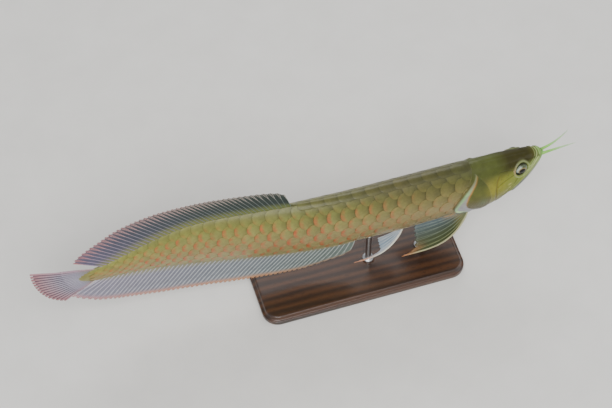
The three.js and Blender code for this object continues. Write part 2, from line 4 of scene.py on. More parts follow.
import bmesh
import bpy
import numpy as np
from bpy.props import FloatProperty, FloatVectorProperty, IntProperty, PointerProperty
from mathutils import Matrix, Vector


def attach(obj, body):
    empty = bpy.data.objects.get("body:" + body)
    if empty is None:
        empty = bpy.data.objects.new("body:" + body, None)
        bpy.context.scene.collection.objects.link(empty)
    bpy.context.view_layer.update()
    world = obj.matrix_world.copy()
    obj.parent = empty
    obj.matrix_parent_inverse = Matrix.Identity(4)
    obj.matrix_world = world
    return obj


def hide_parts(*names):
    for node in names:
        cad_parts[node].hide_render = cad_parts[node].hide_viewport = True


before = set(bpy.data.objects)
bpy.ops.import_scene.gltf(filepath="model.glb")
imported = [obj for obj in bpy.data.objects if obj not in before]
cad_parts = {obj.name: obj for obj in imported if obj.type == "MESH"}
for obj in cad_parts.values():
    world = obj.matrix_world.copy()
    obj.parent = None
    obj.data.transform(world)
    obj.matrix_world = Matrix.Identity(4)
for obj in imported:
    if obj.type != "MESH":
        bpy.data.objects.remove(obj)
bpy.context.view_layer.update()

bl_info = {
    "name": "Silver Arowana Model",
    "version": (1, 0, 0),
    "blender": (4, 5, 0),
    "location": "View3D > Sidebar > Arowana",
    "description": "Builds a life-size silver arowana on a display stand, around its solids",
    "category": "Add Mesh",
}

BODY = "root"
MM = 0.001

# The fish's own sizes, in millimetres, as its solids have them. A station is the distance along the body
# from the chin's tip. Heights are over the body's axis, which lies AXIS_HEIGHT over the floor.
TOTAL_LENGTH = 700
AXIS_HEIGHT = 124
BODY_END = 618
SIDES = (("left", 1), ("right", -1))
BACK = (
    (0, 35), (4, 38.5), (15, 42), (30, 45), (50, 48), (75, 51), (105, 53), (140, 54), (210, 55),
    (280, 55), (340, 55), (400, 53.5), (450, 51), (485, 47), (515, 40.5), (545, 32), (575, 23), (604, 16),
    (640, 12),
)
BELLY = (
    (0, 31), (3, 22), (8, 12), (16, 1), (28, -11), (45, -24), (65, -35), (90, -44), (115, -49.5),
    (140, -53), (200, -57), (270, -56.5), (330, -54), (400, -49.5), (450, -45), (490, -39.5), (520, -33.5),
    (550, -26), (580, -19), (604, -14), (640, -10),
)
HALF_WIDTH = (
    (0, 2.5), (3, 6), (8, 9.5), (16, 12.5), (28, 15.8), (45, 19), (65, 21.5), (90, 23), (125, 24),
    (160, 24), (230, 23.5), (300, 22.5), (370, 20.5), (434, 17.5), (488, 14), (530, 10.5), (570, 7.5),
    (604, 5.4), (640, 3.8),
)
WIDEST_LEVEL = ((0, 33.5), (16, 29), (45, 17), (90, 9), (140, 8), (250, 10), (400, 8), (520, 5), (640, 1.5))
BACK_BLUNTNESS = ((0, 0.42), (120, 0.48), (200, 0.55), (300, 0.62), (380, 0.85), (640, 0.8))
BELLY_SHARPNESS = ((0, 0.55), (60, 0.62), (140, 0.85), (250, 0.85), (300, 0.62), (640, 0.55))
BACK_POWER = 2.4
BELLY_POWER = 1.8
HEADING = (
    (0, 5), (60, 4), (95, 1), (150, 0), (250, -1), (300, -4), (346, -5.8), (400, -7.5), (440, -7), (480, -4),
    (510, 0), (545, 3), (590, 5.5), (625, 3), (700, 0),
)
BASE_STATION = 262

# Lines of the head in side view, as station and height.
MOUTH_LINE = ((-12, 46), (0, 36.2), (14, 24.5), (34, 9), (52, -9))
GILL_LINE = (
    (98, 90), (100, 54), (104, 42), (112, 30), (121, 17), (128, 3), (131, -10), (128, -22), (117, -31),
    (103, -38), (92, -43), (78, -90),
)
OPERCLE_FRONT = ((99, 44), (91, 34), (85, 20), (82, 0), (84, -22), (91, -36), (98, -50))
OPERCLE_EDGE = (
    (99, 48), (103, 36), (109, 25), (114, 13), (116, 1), (113, -10), (105, -20), (94, -29), (82, -37),
)
SUBOPERCLE_LINE = ((84, -17), (94, -14), (105, -12), (116, -8))
PREOPERCLE_LINE = ((68, 38), (73, 26), (75, 10), (74, -6), (69, -18), (60, -28))
CHEEK_LINES = (
    ((47, 33), (58, 38), (69, 39)),
    ((48, 27), (60, 24), (73, 18)),
    ((43, 19), (52, 8), (63, -6)),
    ((29, 21), (24, 24), (18, 29)),
    ((49, 3), (56, -3), (66, -7)),
)
JAW_RIDGE = ((5, 22), (12, 11), (24, -1), (38, -12), (52, -20), (64, -26))
JAW_LINE = ((-12, 46), (0, 36.2), (14, 24.5), (34, 9), (49, -6), (57, -20), (63, -34), (66, -60))
CROWN_LINE = ((16, 41), (30, 42.5), (52, 45), (74, 47), (96, 49))
EYE = (36, 30)
NOSTRILS = ((7, 36.5), (15, 38.5))
CHEEK_PORES = ((22, 37), (50, 40.5), (57, 31), (67, 28), (71, 4), (70, -8))
GILL_HUB = (87, 27)

# Pale flecks of the cheek: station, height, length and tilt.
CHEEK_FLECKS = ((53, 9, 3.2, 0.3), (57, 4, 3.6, 0.4), (61, -1, 3.0, 0.5), (55, 15, 2.4, 0.2))


def smooth(pairs):
    """A monotone cubic curve through the pairs, so that no outline overshoots its points."""
    xs, ys = np.array(pairs, float).T
    widths = np.diff(xs)
    slopes = np.diff(ys) / widths
    product = slopes[:-1] * slopes[1:]
    total = np.where(product > 0, slopes[:-1] + slopes[1:], 1)
    tangents = np.concatenate((slopes[:1], np.where(product > 0, 2 * product / total, 0), slopes[-1:]))

    def curve(x):
        x = np.clip(x, xs[0], xs[-1])
        i = np.clip(np.searchsorted(xs, x, side="right") - 1, 0, len(xs) - 2)
        t = (x - xs[i]) / widths[i]
        start = (2 * t**3 - 3 * t**2 + 1) * ys[i] + (t**3 - 2 * t**2 + t) * widths[i] * tangents[i]
        return start + (3 * t**2 - 2 * t**3) * ys[i + 1] + (t**3 - t**2) * widths[i] * tangents[i + 1]

    return curve


back, belly, half_width, widest_level = map(smooth, (BACK, BELLY, HALF_WIDTH, WIDEST_LEVEL))
back_bluntness, belly_sharpness, heading = map(smooth, (BACK_BLUNTNESS, BELLY_SHARPNESS, HEADING))


def step(low, high, x):
    """A soft step from 0 to 1."""
    t = np.clip((x - low) / (high - low), 0, 1)
    return t * t * (3 - 2 * t)


def hill(x, width):
    """A soft hill of height 1 round 0."""
    return np.exp(-((x / width) ** 2))


# The body's axis in plan, stepped along its headings.
TURNS = np.radians(heading(np.arange(TOTAL_LENGTH) + 0.5))
SPINE = np.vstack(((0, 0), np.cumsum(-np.stack((np.cos(TURNS), np.sin(TURNS)), 1), axis=0)))
SPINE = SPINE - SPINE[BASE_STATION]


def place(s, left, up):
    """Points of the fish in metres, from stations, distances to its left and heights over its axis."""
    s, left, up = np.broadcast_arrays(np.asarray(s, float), left, up)
    index = np.clip(np.floor(s), 0, TOTAL_LENGTH).astype(int)
    turn = np.radians(heading(s))
    past = s - index
    x = SPINE[index, 0] - np.cos(turn) * past - np.sin(turn) * left
    y = SPINE[index, 1] - np.sin(turn) * past + np.cos(turn) * left
    return np.stack((x, y, AXIS_HEIGHT + up), -1) * MM


# The flesh ends in a rounded stump between the tail fin's rays.
STUMP = (612, 642)
STUMP_LEVEL = 1.0


def stump(s):
    """How much of the body's section is left near its end."""
    t = np.clip((s - STUMP[0]) / (STUMP[1] - STUMP[0]), 0, 1)
    return np.sqrt(1 - t**2.2)


def flank(s, up):
    """Half of the body's width at a height over its axis."""
    level = widest_level(s)
    over = up > level
    edge = np.where(over, back(s), belly(s))
    t = np.clip((up - level) / (edge - level), 0, 1)
    above = (1 - t**BACK_POWER) ** back_bluntness(s)
    below = (1 - t**BELLY_POWER) ** belly_sharpness(s)
    return half_width(s) * np.where(over, above, below)


# The flank as a table: its outline at each half millimetre, from the ridge of the back to the keel.
TABLE_STEP = 0.5
TABLE_STATIONS = np.arange(0, STUMP[1] + TABLE_STEP, TABLE_STEP)
TABLE_SHARES = np.linspace(0, 1, 161)
SECTION_ANGLES = np.linspace(0, math.pi, 97)


def flank_table():
    """Width, height and the outward direction of the flank at each station and share."""
    outs, ups = [], []
    for s in TABLE_STATIONS:
        level = widest_level(s)
        reach = np.where(SECTION_ANGLES < math.pi / 2, back(s) - level, level - belly(s))
        up = level + np.cos(SECTION_ANGLES) * reach
        out = flank(s, up)
        out[[0, -1]] = 0
        out, up = out * stump(s), STUMP_LEVEL + (up - STUMP_LEVEL) * stump(s)
        length = np.concatenate(((0,), np.cumsum(np.hypot(np.diff(out), np.diff(up)))))
        wanted = TABLE_SHARES * length[-1]
        outs.append(np.interp(wanted, length, out))
        ups.append(np.interp(wanted, length, up))
    out, up = np.array(outs), np.array(ups)
    along_out, along_up = np.gradient(out, axis=1), np.gradient(up, axis=1)
    size = np.hypot(along_out, along_up) + 1e-9
    return np.stack((out, up, -along_up / size, along_out / size), -1)


TABLE = flank_table()


def on_flank(s, v):
    """Width, height and the outward direction of the flank, at stations and shares from ridge to keel."""
    x = np.clip(s / TABLE_STEP, 0, len(TABLE_STATIONS) - 1.001)
    y = np.clip(v, 0, 1) * (len(TABLE_SHARES) - 1.001)
    i, j = x.astype(int), y.astype(int)
    a, b = (x - i)[..., None], (y - j)[..., None]
    near = TABLE[i, j] * (1 - b) + TABLE[i, j + 1] * b
    far = TABLE[i + 1, j] * (1 - b) + TABLE[i + 1, j + 1] * b
    return np.moveaxis(near * (1 - a) + far * a, -1, 0)


def on_skin(s, v, side, lift=0):
    """Points of the body's surface in metres, raised by a lift. A share past ridge or keel goes round it."""
    side = np.where((v < 0) | (v > 1), -side, side)
    v = np.where(v < 0, -v, np.where(v > 1, 2 - v, v))
    out, up, facing_out, facing_up = on_flank(s, v)
    return place(s, side * (out + lift * facing_out), up + lift * facing_up)


def rounded(line, count=60):
    """A line of few points as a smooth one of many."""
    points = np.array(line, float)
    run = np.concatenate(((0,), np.cumsum(np.hypot(*np.diff(points, axis=0).T))))
    at = np.linspace(0, run[-1], count)
    return np.stack([smooth(list(zip(run, column)))(at) for column in points.T], 1)


def beside(line, s, up):
    """Distance to a line in side view, positive towards the tail of a line that runs down, and the share of
    the line at which it is met."""
    points = rounded(line)
    best = np.full(np.shape(s), 1e9)
    signed, share = best.copy(), np.zeros(np.shape(s))
    for i, (a, b) in enumerate(zip(points, points[1:])):
        d = b - a
        t = np.clip(((s - a[0]) * d[0] + (up - a[1]) * d[1]) / (d @ d), 0, 1)
        r = (s - a[0] - t * d[0], up - a[1] - t * d[1])
        away = np.hypot(*r)
        closer = away < best
        best = np.where(closer, away, best)
        signed = np.where(closer, np.where(d[0] * r[1] - d[1] * r[0] > 0, away, -away), signed)
        share = np.where(closer, (i + t) / (len(points) - 1), share)
    return signed, share


def linear(hex_value):
    """The linear colour of an sRGB hex value. Every colour is turned here."""
    channels = [int(hex_value[i : i + 2], 16) / 255 for i in (1, 3, 5)]
    return tuple(c / 12.92 if c <= 0.04045 else ((c + 0.055) / 1.055) ** 2.4 for c in channels)


def ramp(x, stops):
    """A colour at each x, from (place, hex) stops."""
    places = [stop[0] for stop in stops]
    colours = np.array([linear(stop[1]) for stop in stops])
    return np.stack([np.interp(x, places, channel) for channel in colours.T], -1)


def mixed(colour, other, amount):
    """A colour with an amount of another mixed in."""
    amount = np.asarray(amount)[..., None]
    return np.asarray(colour) * (1 - amount) + np.asarray(other) * amount


def layered(colour, *layers):
    """A colour under layers of paint, each one a hex value or colours, and how much it covers."""
    for paint, amount in layers:
        colour = mixed(colour, linear(paint) if isinstance(paint, str) else paint, amount)
    return colour


# The body's colours: at each share from ridge to keel, the colours along the body by station.
BODY_COLOURS = (
    (0.0, ((90, "#41451d"), (200, "#4f4c29"), (340, "#5b5c31"), (600, "#7c7d3d"))),
    (0.13, ((90, "#4f5325"), (200, "#5e5a30"), (340, "#727337"), (600, "#83833f"))),
    (0.3, ((90, "#6e6937"), (200, "#7b713e"), (340, "#887e45"), (600, "#8d8248"))),
    (0.55, ((90, "#85754a"), (200, "#8d7a50"), (340, "#927a51"), (600, "#8f8050"))),
    (0.78, ((90, "#8f866a"), (200, "#918564"), (340, "#91865a"), (600, "#8c8758"))),
    (1.0, ((90, "#aaa68f"), (200, "#a8a084"), (340, "#9c9670"), (600, "#928f68"))),
)


def body_colour(s, v):
    """The body's own colour at stations and shares from ridge to keel."""
    levels = [share for share, _ in BODY_COLOURS]
    colours = np.stack([ramp(s, stops) for _, stops in BODY_COLOURS])
    v = np.clip(v, 0, 1)
    i = np.clip(np.searchsorted(levels, v, side="right") - 1, 0, len(levels) - 2)
    low, high = np.take(levels, i), np.take(levels, i + 1)
    rows = np.take_along_axis(colours, i[None, ..., None], 0)[0]
    below = np.take_along_axis(colours, i[None, ..., None] + 1, 0)[0]
    return mixed(rows, below, (v - low) / (high - low))


class ArowanaSettings(bpy.types.PropertyGroup):
    """Sizes and colours that a user would change"""

    scale_rise: FloatProperty(
        name="Scale Rise", description="How far a scale's hind edge stands proud of the skin",
        default=0.54 * MM, min=0.2 * MM, max=2 * MM, unit="LENGTH")
    scale_thickness: FloatProperty(
        name="Scale Thickness", description="Thickness of a scale",
        default=0.22 * MM, min=0.1 * MM, max=1 * MM, unit="LENGTH")
    lip_lift: FloatProperty(
        name="Lip Lift", description="How far the lips stand proud of the jaws",
        default=1.0 * MM, min=0, max=2 * MM, unit="LENGTH")
    gill_lift: FloatProperty(
        name="Gill Cover Lift", description="How far the gill cover stands proud of the cheek",
        default=1.2 * MM, min=0, max=2 * MM, unit="LENGTH")
    dorsal_rays: IntProperty(
        name="Dorsal Rays", description="Rays of the dorsal fin", default=46, min=10, max=60)
    anal_rays: IntProperty(
        name="Anal Rays", description="Rays of the anal fin", default=56, min=10, max=70)
    caudal_rays: IntProperty(
        name="Tail Rays", description="Rays of the tail fin", default=15, min=7, max=25)
    blush: FloatVectorProperty(
        name="Blush", description="Colour of the crescents on the flank's scales",
        subtype="COLOR", default=linear("#ad5a30"), min=0, max=1)
    silver: FloatVectorProperty(
        name="Iris Silver", description="Colour of the iris",
        subtype="COLOR", default=linear("#757c70"), min=0, max=1)
    floor: FloatVectorProperty(
        name="Floor", description="Colour of the studio floor",
        subtype="COLOR", default=linear("#dcdad4"), min=0, max=1)
    view_azimuth: FloatProperty(
        name="View Azimuth", description="Direction that the camera looks from",
        default=math.radians(-17.5), subtype="ANGLE")
    view_elevation: FloatProperty(
        name="View Elevation", description="Height of the camera over the horizon",
        default=math.radians(56), subtype="ANGLE")
    view_distance: FloatProperty(
        name="View Distance", description="Distance of the camera from the fish",
        default=2.6, unit="LENGTH")
    view_width: FloatProperty(
        name="View Width", description="Width of what the camera takes in at the fish",
        default=0.816, unit="LENGTH")


def add_node(tree, kind, inputs, **choices):
    """Adds one shader node with its settings and links. A node among the inputs gives its first output."""
    node = tree.nodes.new("ShaderNode" + kind)
    for key, value in choices.items():
        setattr(node, key, value)
    for key, value in inputs.items():
        if isinstance(value, bpy.types.Node):
            value = value.outputs[0]
        if isinstance(value, bpy.types.NodeSocket):
            tree.links.new(value, node.inputs[key])
        else:
            node.inputs[key].default_value = value
    return node


def start_material(name, **shader_values):
    """A new material, with its tree, its shader and the place on the model that its patterns go by."""
    material = bpy.data.materials.new(name)
    material.use_nodes = True
    tree = material.node_tree
    shader = tree.nodes["Principled BSDF"]
    for key, value in shader_values.items():
        shader.inputs[key.replace("_", " ")].default_value = value
    return material, tree, shader, add_node(tree, "TexCoord", {}).outputs["Object"]


def finish_material(tree, shader, colour, normal):
    """Links a material's colour to its shader, and its relief where it has one."""
    tree.links.new(colour.outputs[0], shader.inputs["Base Color"])
    if normal:
        tree.links.new(normal.outputs[0], shader.inputs["Normal"])


def per_metre(size_mm):
    """The scale of a pattern whose features are this many millimetres apart."""
    return 1000 / size_mm


def rgba(hex_value):
    """The value of a colour input for an sRGB hex value."""
    return (*linear(hex_value), 1)


def mottled(tree, colour, pattern, least, most, low=0.3):
    """Shades a colour by a soft pattern, between a least and a most brightness."""
    shade = add_node(
        tree, "MapRange", {"Value": pattern, "From Min": low, "From Max": 0.7, "To Min": least, "To Max": most})
    return add_node(tree, "MixRGB", {"Fac": 1, "Color1": colour, "Color2": shade}, blend_type="MULTIPLY")


def wet_skin():
    """Fish skin under its slime: a soft body colour with fine dark freckles, and a thin clear wet layer that
    gives sharp small lights over a duller surface."""
    material, tree, shader, where = start_material(
        "wet_fish_skin", Roughness=0.48, Coat_Weight=0.12, Coat_Roughness=0.12, IOR=1.35,
        Specular_IOR_Level=0.3)
    tint = add_node(tree, "Attribute", {}, attribute_name="tint")
    dots = add_node(
        tree, "TexNoise", {"Vector": where, "Scale": per_metre(1.1), "Detail": 2, "Roughness": 0.6})
    freckles = add_node(tree, "MapRange", {"Value": dots, "From Min": 0.56, "From Max": 0.72})
    patches = add_node(
        tree, "TexNoise", {"Vector": where, "Scale": per_metre(9), "Detail": 4, "Roughness": 0.6})
    darker = add_node(tree, "MixRGB", {"Fac": 0.22, "Color1": tint, "Color2": rgba("#303516")})
    speckled = add_node(tree, "MixRGB", {"Fac": freckles, "Color1": tint, "Color2": darker})
    grain = add_node(
        tree, "TexNoise", {"Vector": where, "Scale": per_metre(0.9), "Detail": 3, "Roughness": 0.6})
    fine = add_node(tree, "Bump", {"Height": grain, "Distance": 0.12 * MM})
    soft = add_node(
        tree, "Bump", {"Height": patches, "Distance": 0.5 * MM, "Strength": 0.5, "Normal": fine})
    finish_material(tree, shader, mottled(tree, speckled, patches, 0.86, 1.14), soft)
    return material


def scale_plate(blush_colour):
    """Bony scale under thin wet skin: pearly, with growth rings round its root, a reddish crescent at its
    hind edge, dark pigment along its rim, and painted shade where the scale in front covers it."""
    material, tree, shader, where = start_material(
        "pearly_scale", Roughness=0.42, Metallic=0.1, Coat_Weight=0.14, Coat_Roughness=0.2, IOR=1.45,
        Specular_IOR_Level=0.35)
    tint = add_node(tree, "Attribute", {}, attribute_name="tint")
    lie = add_node(tree, "Attribute", {}, attribute_name="lie").outputs["Vector"]
    blush = add_node(tree, "Attribute", {}, attribute_name="blush").outputs["Fac"]
    net = add_node(tree, "Attribute", {}, attribute_name="net").outputs["Fac"]
    lie = add_node(tree, "SeparateXYZ", {0: lie})
    # The crescent: reddest along the middle of the hind edge, with a ragged front and gaps.
    ragged = add_node(
        tree, "TexNoise", {"Vector": where, "Scale": per_metre(2.6), "Detail": 3, "Roughness": 0.6})
    shift = add_node(
        tree, "MapRange", {"Value": ragged, "From Min": 0.3, "From Max": 0.7, "To Min": -0.9, "To Max": 0.9})
    from_edge = add_node(tree, "Math", {0: lie.outputs["X"], 1: shift})
    inner = add_node(
        tree, "MapRange", {"Value": from_edge, "From Min": 2.6, "From Max": 6.8, "To Min": 1, "To Max": 0})
    aside = add_node(tree, "Math", {0: lie.outputs["Y"]}, operation="ABSOLUTE")
    middle = add_node(
        tree, "MapRange", {"Value": aside, "From Min": 5, "From Max": 9, "To Min": 1, "To Max": 0.15})
    gaps = add_node(
        tree, "TexNoise", {"Vector": where, "Scale": per_metre(8), "Detail": 2, "Roughness": 0.6})
    broken = add_node(
        tree, "MapRange", {"Value": gaps, "From Min": 0.36, "From Max": 0.6, "To Min": 0.2, "To Max": 1})
    whole = add_node(tree, "Math", {0: inner, 1: middle}, operation="MULTIPLY")
    crescent = add_node(tree, "Math", {0: whole, 1: broken}, operation="MULTIPLY")
    red = add_node(tree, "Math", {0: crescent, 1: blush}, operation="MULTIPLY")
    # A greener middle, dark pigment along the rim, and painted shade under the scale in front.
    behind = add_node(tree, "MapRange", {"Value": from_edge, "From Min": 4, "From Max": 7.5})
    green = add_node(tree, "Math", {0: behind, 1: blush}, operation="MULTIPLY")
    green_part = add_node(tree, "Math", {0: green, 1: 0.22}, operation="MULTIPLY")
    greened = add_node(tree, "MixRGB", {"Fac": green_part, "Color1": tint, "Color2": rgba("#7c9350")})
    reddened = add_node(tree, "MixRGB", {"Fac": red, "Color1": greened, "Color2": (*blush_colour, 1)})
    # Painted shade: darker towards the root, where the scale in front overlaps this one.
    overlap_shade = add_node(
        tree, "MapRange", {"Value": from_edge, "From Min": 6, "From Max": 19, "To Min": 0, "To Max": 0.75})
    rim = add_node(
        tree, "MapRange",
        {"Value": lie.outputs["X"], "From Min": 0.2, "From Max": 1.2, "To Min": 0.8, "To Max": 0})
    shaded = add_node(tree, "Math", {0: overlap_shade, 1: rim}, operation="MAXIMUM")
    dark = add_node(tree, "Math", {0: shaded, 1: net}, operation="MULTIPLY")
    netted_and_shaded = add_node(tree, "MixRGB", {"Fac": dark, "Color1": reddened, "Color2": rgba("#3a391b")})
    cloud = add_node(
        tree, "TexNoise", {"Vector": where, "Scale": per_metre(5), "Detail": 4, "Roughness": 0.6})
    # Real growth rings lie closer together than the render can show, so they are drawn 0.9 mm apart.
    root = add_node(tree, "CombineXYZ", {0: lie.outputs["X"], 1: lie.outputs["Y"]})
    away = add_node(tree, "VectorMath", {0: root, 1: (14, 0, 0)}, operation="DISTANCE").outputs["Value"]
    turns = add_node(tree, "Math", {0: away, 1: 2 * math.pi / 0.9}, operation="MULTIPLY")
    rings = add_node(tree, "Math", {0: turns}, operation="SINE")
    ridges = add_node(tree, "Bump", {"Height": rings, "Distance": 0.03 * MM, "Strength": 0.22})
    soft = add_node(
        tree, "Bump", {"Height": ragged, "Distance": 0.25 * MM, "Strength": 0.5, "Normal": ridges})
    finish_material(tree, shader, mottled(tree, netted_and_shaded, cloud, 0.86, 1.14), soft)
    return material


def eye_glass():
    """A wet eye: a black pupil in a silver iris flecked with dark, under a clear glossy cornea."""
    material, tree, shader, where = start_material(
        "wet_eye", Roughness=0.3, Coat_Weight=0.35, Coat_Roughness=0.02, IOR=1.38, Specular_IOR_Level=0.1)
    tint = add_node(tree, "Attribute", {}, attribute_name="tint")
    grain = add_node(
        tree, "TexNoise", {"Vector": where, "Scale": per_metre(1), "Detail": 3, "Roughness": 0.6})
    finish_material(tree, shader, mottled(tree, tint, grain, 0.72, 1.1, low=0.35), None)
    return material


def fin_membrane():
    """Thin skin between fin rays: milky and a little see-through, with faint folds."""
    material, tree, shader, where = start_material(
        "fin_membrane", Roughness=0.48, Coat_Weight=0.12, Coat_Roughness=0.15, IOR=1.35, Alpha=0.95)
    tint = add_node(tree, "Attribute", {}, attribute_name="tint")
    milk = add_node(
        tree, "TexNoise", {"Vector": where, "Scale": per_metre(6), "Detail": 3, "Roughness": 0.6})
    folds = add_node(
        tree, "TexNoise", {"Vector": where, "Scale": per_metre(1.4), "Detail": 2, "Roughness": 0.6})
    creased = add_node(tree, "Bump", {"Height": folds, "Distance": 0.1 * MM})
    finish_material(tree, shader, mottled(tree, tint, milk, 0.88, 1.1), creased)
    return material


def fin_ray():
    """Bony fin ray in thin skin: paler than the membrane, and jointed like a cane every few millimetres."""
    material, tree, shader, _ = start_material(
        "fin_ray", Roughness=0.35, Coat_Weight=0.3, Coat_Roughness=0.12, IOR=1.45)
    tint = add_node(tree, "Attribute", {}, attribute_name="tint")
    lie = add_node(tree, "Attribute", {}, attribute_name="lie").outputs["Vector"]
    run = add_node(tree, "SeparateXYZ", {0: lie})
    turns = add_node(tree, "Math", {0: run, 1: 2 * math.pi / 2.2}, operation="MULTIPLY")
    wave = add_node(tree, "Math", {0: turns}, operation="SINE")
    joint = add_node(
        tree, "MapRange", {"Value": wave, "From Min": 0.75, "From Max": 1, "To Min": 1, "To Max": 0.86})
    toned = add_node(tree, "MixRGB", {"Fac": 1, "Color1": tint, "Color2": joint}, blend_type="MULTIPLY")
    jointed = add_node(tree, "Bump", {"Height": joint, "Distance": 0.1 * MM, "Strength": 0.3})
    finish_material(tree, shader, toned, jointed)
    return material


def stained_wood():
    """Moulded and stained walnut under satin varnish: long grain with dark pores, and a soft sheen."""
    material, tree, shader, where = start_material(
        "stained_walnut", Roughness=0.34, Coat_Weight=0.35, Coat_Roughness=0.22)
    stretched = add_node(tree, "Mapping", {"Vector": where, "Scale": (0.07, 1, 1)})
    bands = add_node(
        tree, "TexWave",
        {"Vector": stretched, "Scale": per_metre(40), "Distortion": 7, "Detail": 3, "Detail Scale": 1.5},
        bands_direction="Y").outputs["Fac"]
    specks = add_node(
        tree, "TexNoise", {"Vector": stretched, "Scale": per_metre(0.8), "Detail": 2, "Roughness": 0.6})
    pores = add_node(tree, "MapRange", {"Value": specks, "From Min": 0.58, "From Max": 0.7})
    grain = add_node(tree, "MixRGB", {"Fac": bands, "Color1": rgba("#2b1a10"), "Color2": rgba("#4a2e1b")})
    toned = add_node(tree, "MixRGB", {"Fac": pores, "Color1": grain, "Color2": rgba("#1a0f09")})
    open_pores = add_node(tree, "Bump", {"Height": pores, "Distance": 0.06 * MM, "Strength": 0.5})
    finish_material(tree, shader, toned, open_pores)
    return material


def brushed_rod():
    """Stainless steel drawn and brushed along its length: fine lines, and lights that stretch along it."""
    material, tree, shader, where = start_material(
        "brushed_stainless_steel", Metallic=1.0, Roughness=0.3, Anisotropic=0.5)
    drawn = add_node(tree, "Mapping", {"Vector": where, "Scale": (0.03, 0.03, 1)})
    # Brush lines are finer than the render can show, so they are drawn about 0.35 mm apart.
    lines = add_node(
        tree, "TexNoise", {"Vector": drawn, "Scale": per_metre(0.35), "Detail": 2, "Roughness": 0.6})
    tone = add_node(tree, "MixRGB", {"Fac": lines, "Color1": rgba("#a9abac"), "Color2": rgba("#cfd0d0")})
    brushed = add_node(tree, "Bump", {"Height": lines, "Distance": 0.03 * MM, "Strength": 0.5})
    finish_material(tree, shader, tone, brushed)
    return material


def studio_paint(colour):
    """Matt painted board: even and pale, with a faint roller texture."""
    material, tree, shader, where = start_material("matt_floor_paint", Roughness=0.85)
    broad = add_node(
        tree, "TexNoise", {"Vector": where, "Scale": per_metre(60), "Detail": 4, "Roughness": 0.6})
    roller = add_node(
        tree, "TexNoise", {"Vector": where, "Scale": per_metre(2.5), "Detail": 2, "Roughness": 0.6})
    rolled = add_node(tree, "Bump", {"Height": roller, "Distance": 0.1 * MM, "Strength": 0.3})
    finish_material(tree, shader, mottled(tree, (*colour, 1), broad, 0.97, 1.03), rolled)
    return material


class Heap:
    """Points and faces that become one mesh piece, with painted values on the points."""

    def __init__(self):
        self.points, self.faces, self.values, self.count = [], [], {}, 0

    def add(self, points, faces, **values):
        """Adds points and faces, with values for each point by name."""
        points = np.asarray(points, float).reshape(-1, 3)
        self.points.append(points)
        self.faces += [[i + self.count for i in face] for face in faces]
        for name, value in values.items():
            self.values.setdefault(name, []).append(np.asarray(value, float))
        self.count += len(points)

    def piece(self, name, material, slot, *replaced):
        """Makes the mesh piece and hides the solids that it replaces. Its slot is not used."""
        mesh = bpy.data.meshes.new(name)
        mesh.from_pydata(np.concatenate(self.points).tolist(), [], self.faces)
        corners = np.empty(len(mesh.loops), int)
        mesh.loops.foreach_get("vertex_index", corners)
        for key, parts in self.values.items():
            value = np.concatenate(parts)
            if key == "unwrap":
                mesh.uv_layers.new(name="OFBake").data.foreach_set("uv", value[corners].ravel())
            elif key == "tint":
                opaque = np.concatenate((value, np.ones((len(value), 1))), 1)
                mesh.attributes.new(key, "FLOAT_COLOR", "POINT").data.foreach_set("color", opaque.ravel())
            elif value.ndim == 2:
                mesh.attributes.new(key, "FLOAT_VECTOR", "POINT").data.foreach_set("vector", value.ravel())
            else:
                mesh.attributes.new(key, "FLOAT", "POINT").data.foreach_set("value", value.ravel())
        mesh.polygons.foreach_set("use_smooth", np.full(len(mesh.polygons), True))
        mesh.materials.append(material)
        piece = bpy.data.objects.new(name, mesh)
        bpy.context.scene.collection.objects.link(piece)
        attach(piece, BODY)
        if replaced:
            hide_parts(*replaced)
        return piece


def grid_faces(rows, columns, start=0, wrap=False, flip=False):
    """The quads of a grid of points, numbered row by row."""
    i, j = np.meshgrid(np.arange(rows - 1), np.arange(columns if wrap else columns - 1), indexing="ij")
    k = (j + 1) % columns
    quads = np.stack((i * columns + j, i * columns + k, (i + 1) * columns + k, (i + 1) * columns + j), -1)
    quads = quads.reshape(-1, 4) + start
    return (quads[:, ::-1] if flip else quads).tolist()


def grid_rim(rows, columns):
    """The points along the rim of such a grid, in order."""
    rim = list(range(columns)) + [i * columns + columns - 1 for i in range(1, rows)]
    rim += [(rows - 1) * columns + j for j in range(columns - 2, -1, -1)]
    return rim + [i * columns for i in range(rows - 2, 0, -1)]


def ring_faces(rings, sides, flip=False):
    """The faces of a stack of rings, with a cap at both ends."""
    last = (rings - 1) * sides
    caps = [list(range(sides))[::-1], list(range(last, last + sides))]
    return grid_faces(rings, sides, wrap=True, flip=flip) + ([cap[::-1] for cap in caps] if flip else caps)


def unit(vectors):
    """The vectors at length 1."""
    return vectors / np.maximum(np.linalg.norm(vectors, axis=-1, keepdims=True), 1e-12)


def sheet_shell(middle, thickness):
    """A thin closed shell round a grid of points: both faces and the rim."""
    rows, columns = middle.shape[:2]
    down, across = np.gradient(middle, axis=0), np.gradient(middle, axis=1)
    normal = unit(np.cross(down, across))
    half = np.asarray(thickness)[..., None] * MM / 2
    points = np.concatenate([(middle + normal * way * half).reshape(-1, 3) for way in (1, -1)])
    size = rows * columns
    faces = grid_faces(rows, columns, flip=True) + grid_faces(rows, columns, size)
    rim = grid_rim(rows, columns)
    return points, faces + [[a, b, b + size, a + size] for a, b in zip(rim, rim[1:] + rim[:1])]


def tube(path, across, flat_radius, deep_radius, sides=8):
    """A tapered rod along a path. Its section is an oval, flat_radius wide along across."""
    path = np.asarray(path, float)
    along = unit(np.gradient(path, axis=0))
    wide = unit(across - (across * along).sum(-1, keepdims=True) * along)
    deep = np.cross(along, wide)
    turn = np.arange(sides) * 2 * math.pi / sides
    flat = np.broadcast_to(flat_radius, len(path))[:, None, None] * MM * np.cos(turn)[None, :, None]
    tall = np.broadcast_to(deep_radius, len(path))[:, None, None] * MM * np.sin(turn)[None, :, None]
    rings = path[:, None] + wide[:, None] * flat + deep[:, None] * tall
    return rings.reshape(-1, 3), ring_faces(len(path), sides)


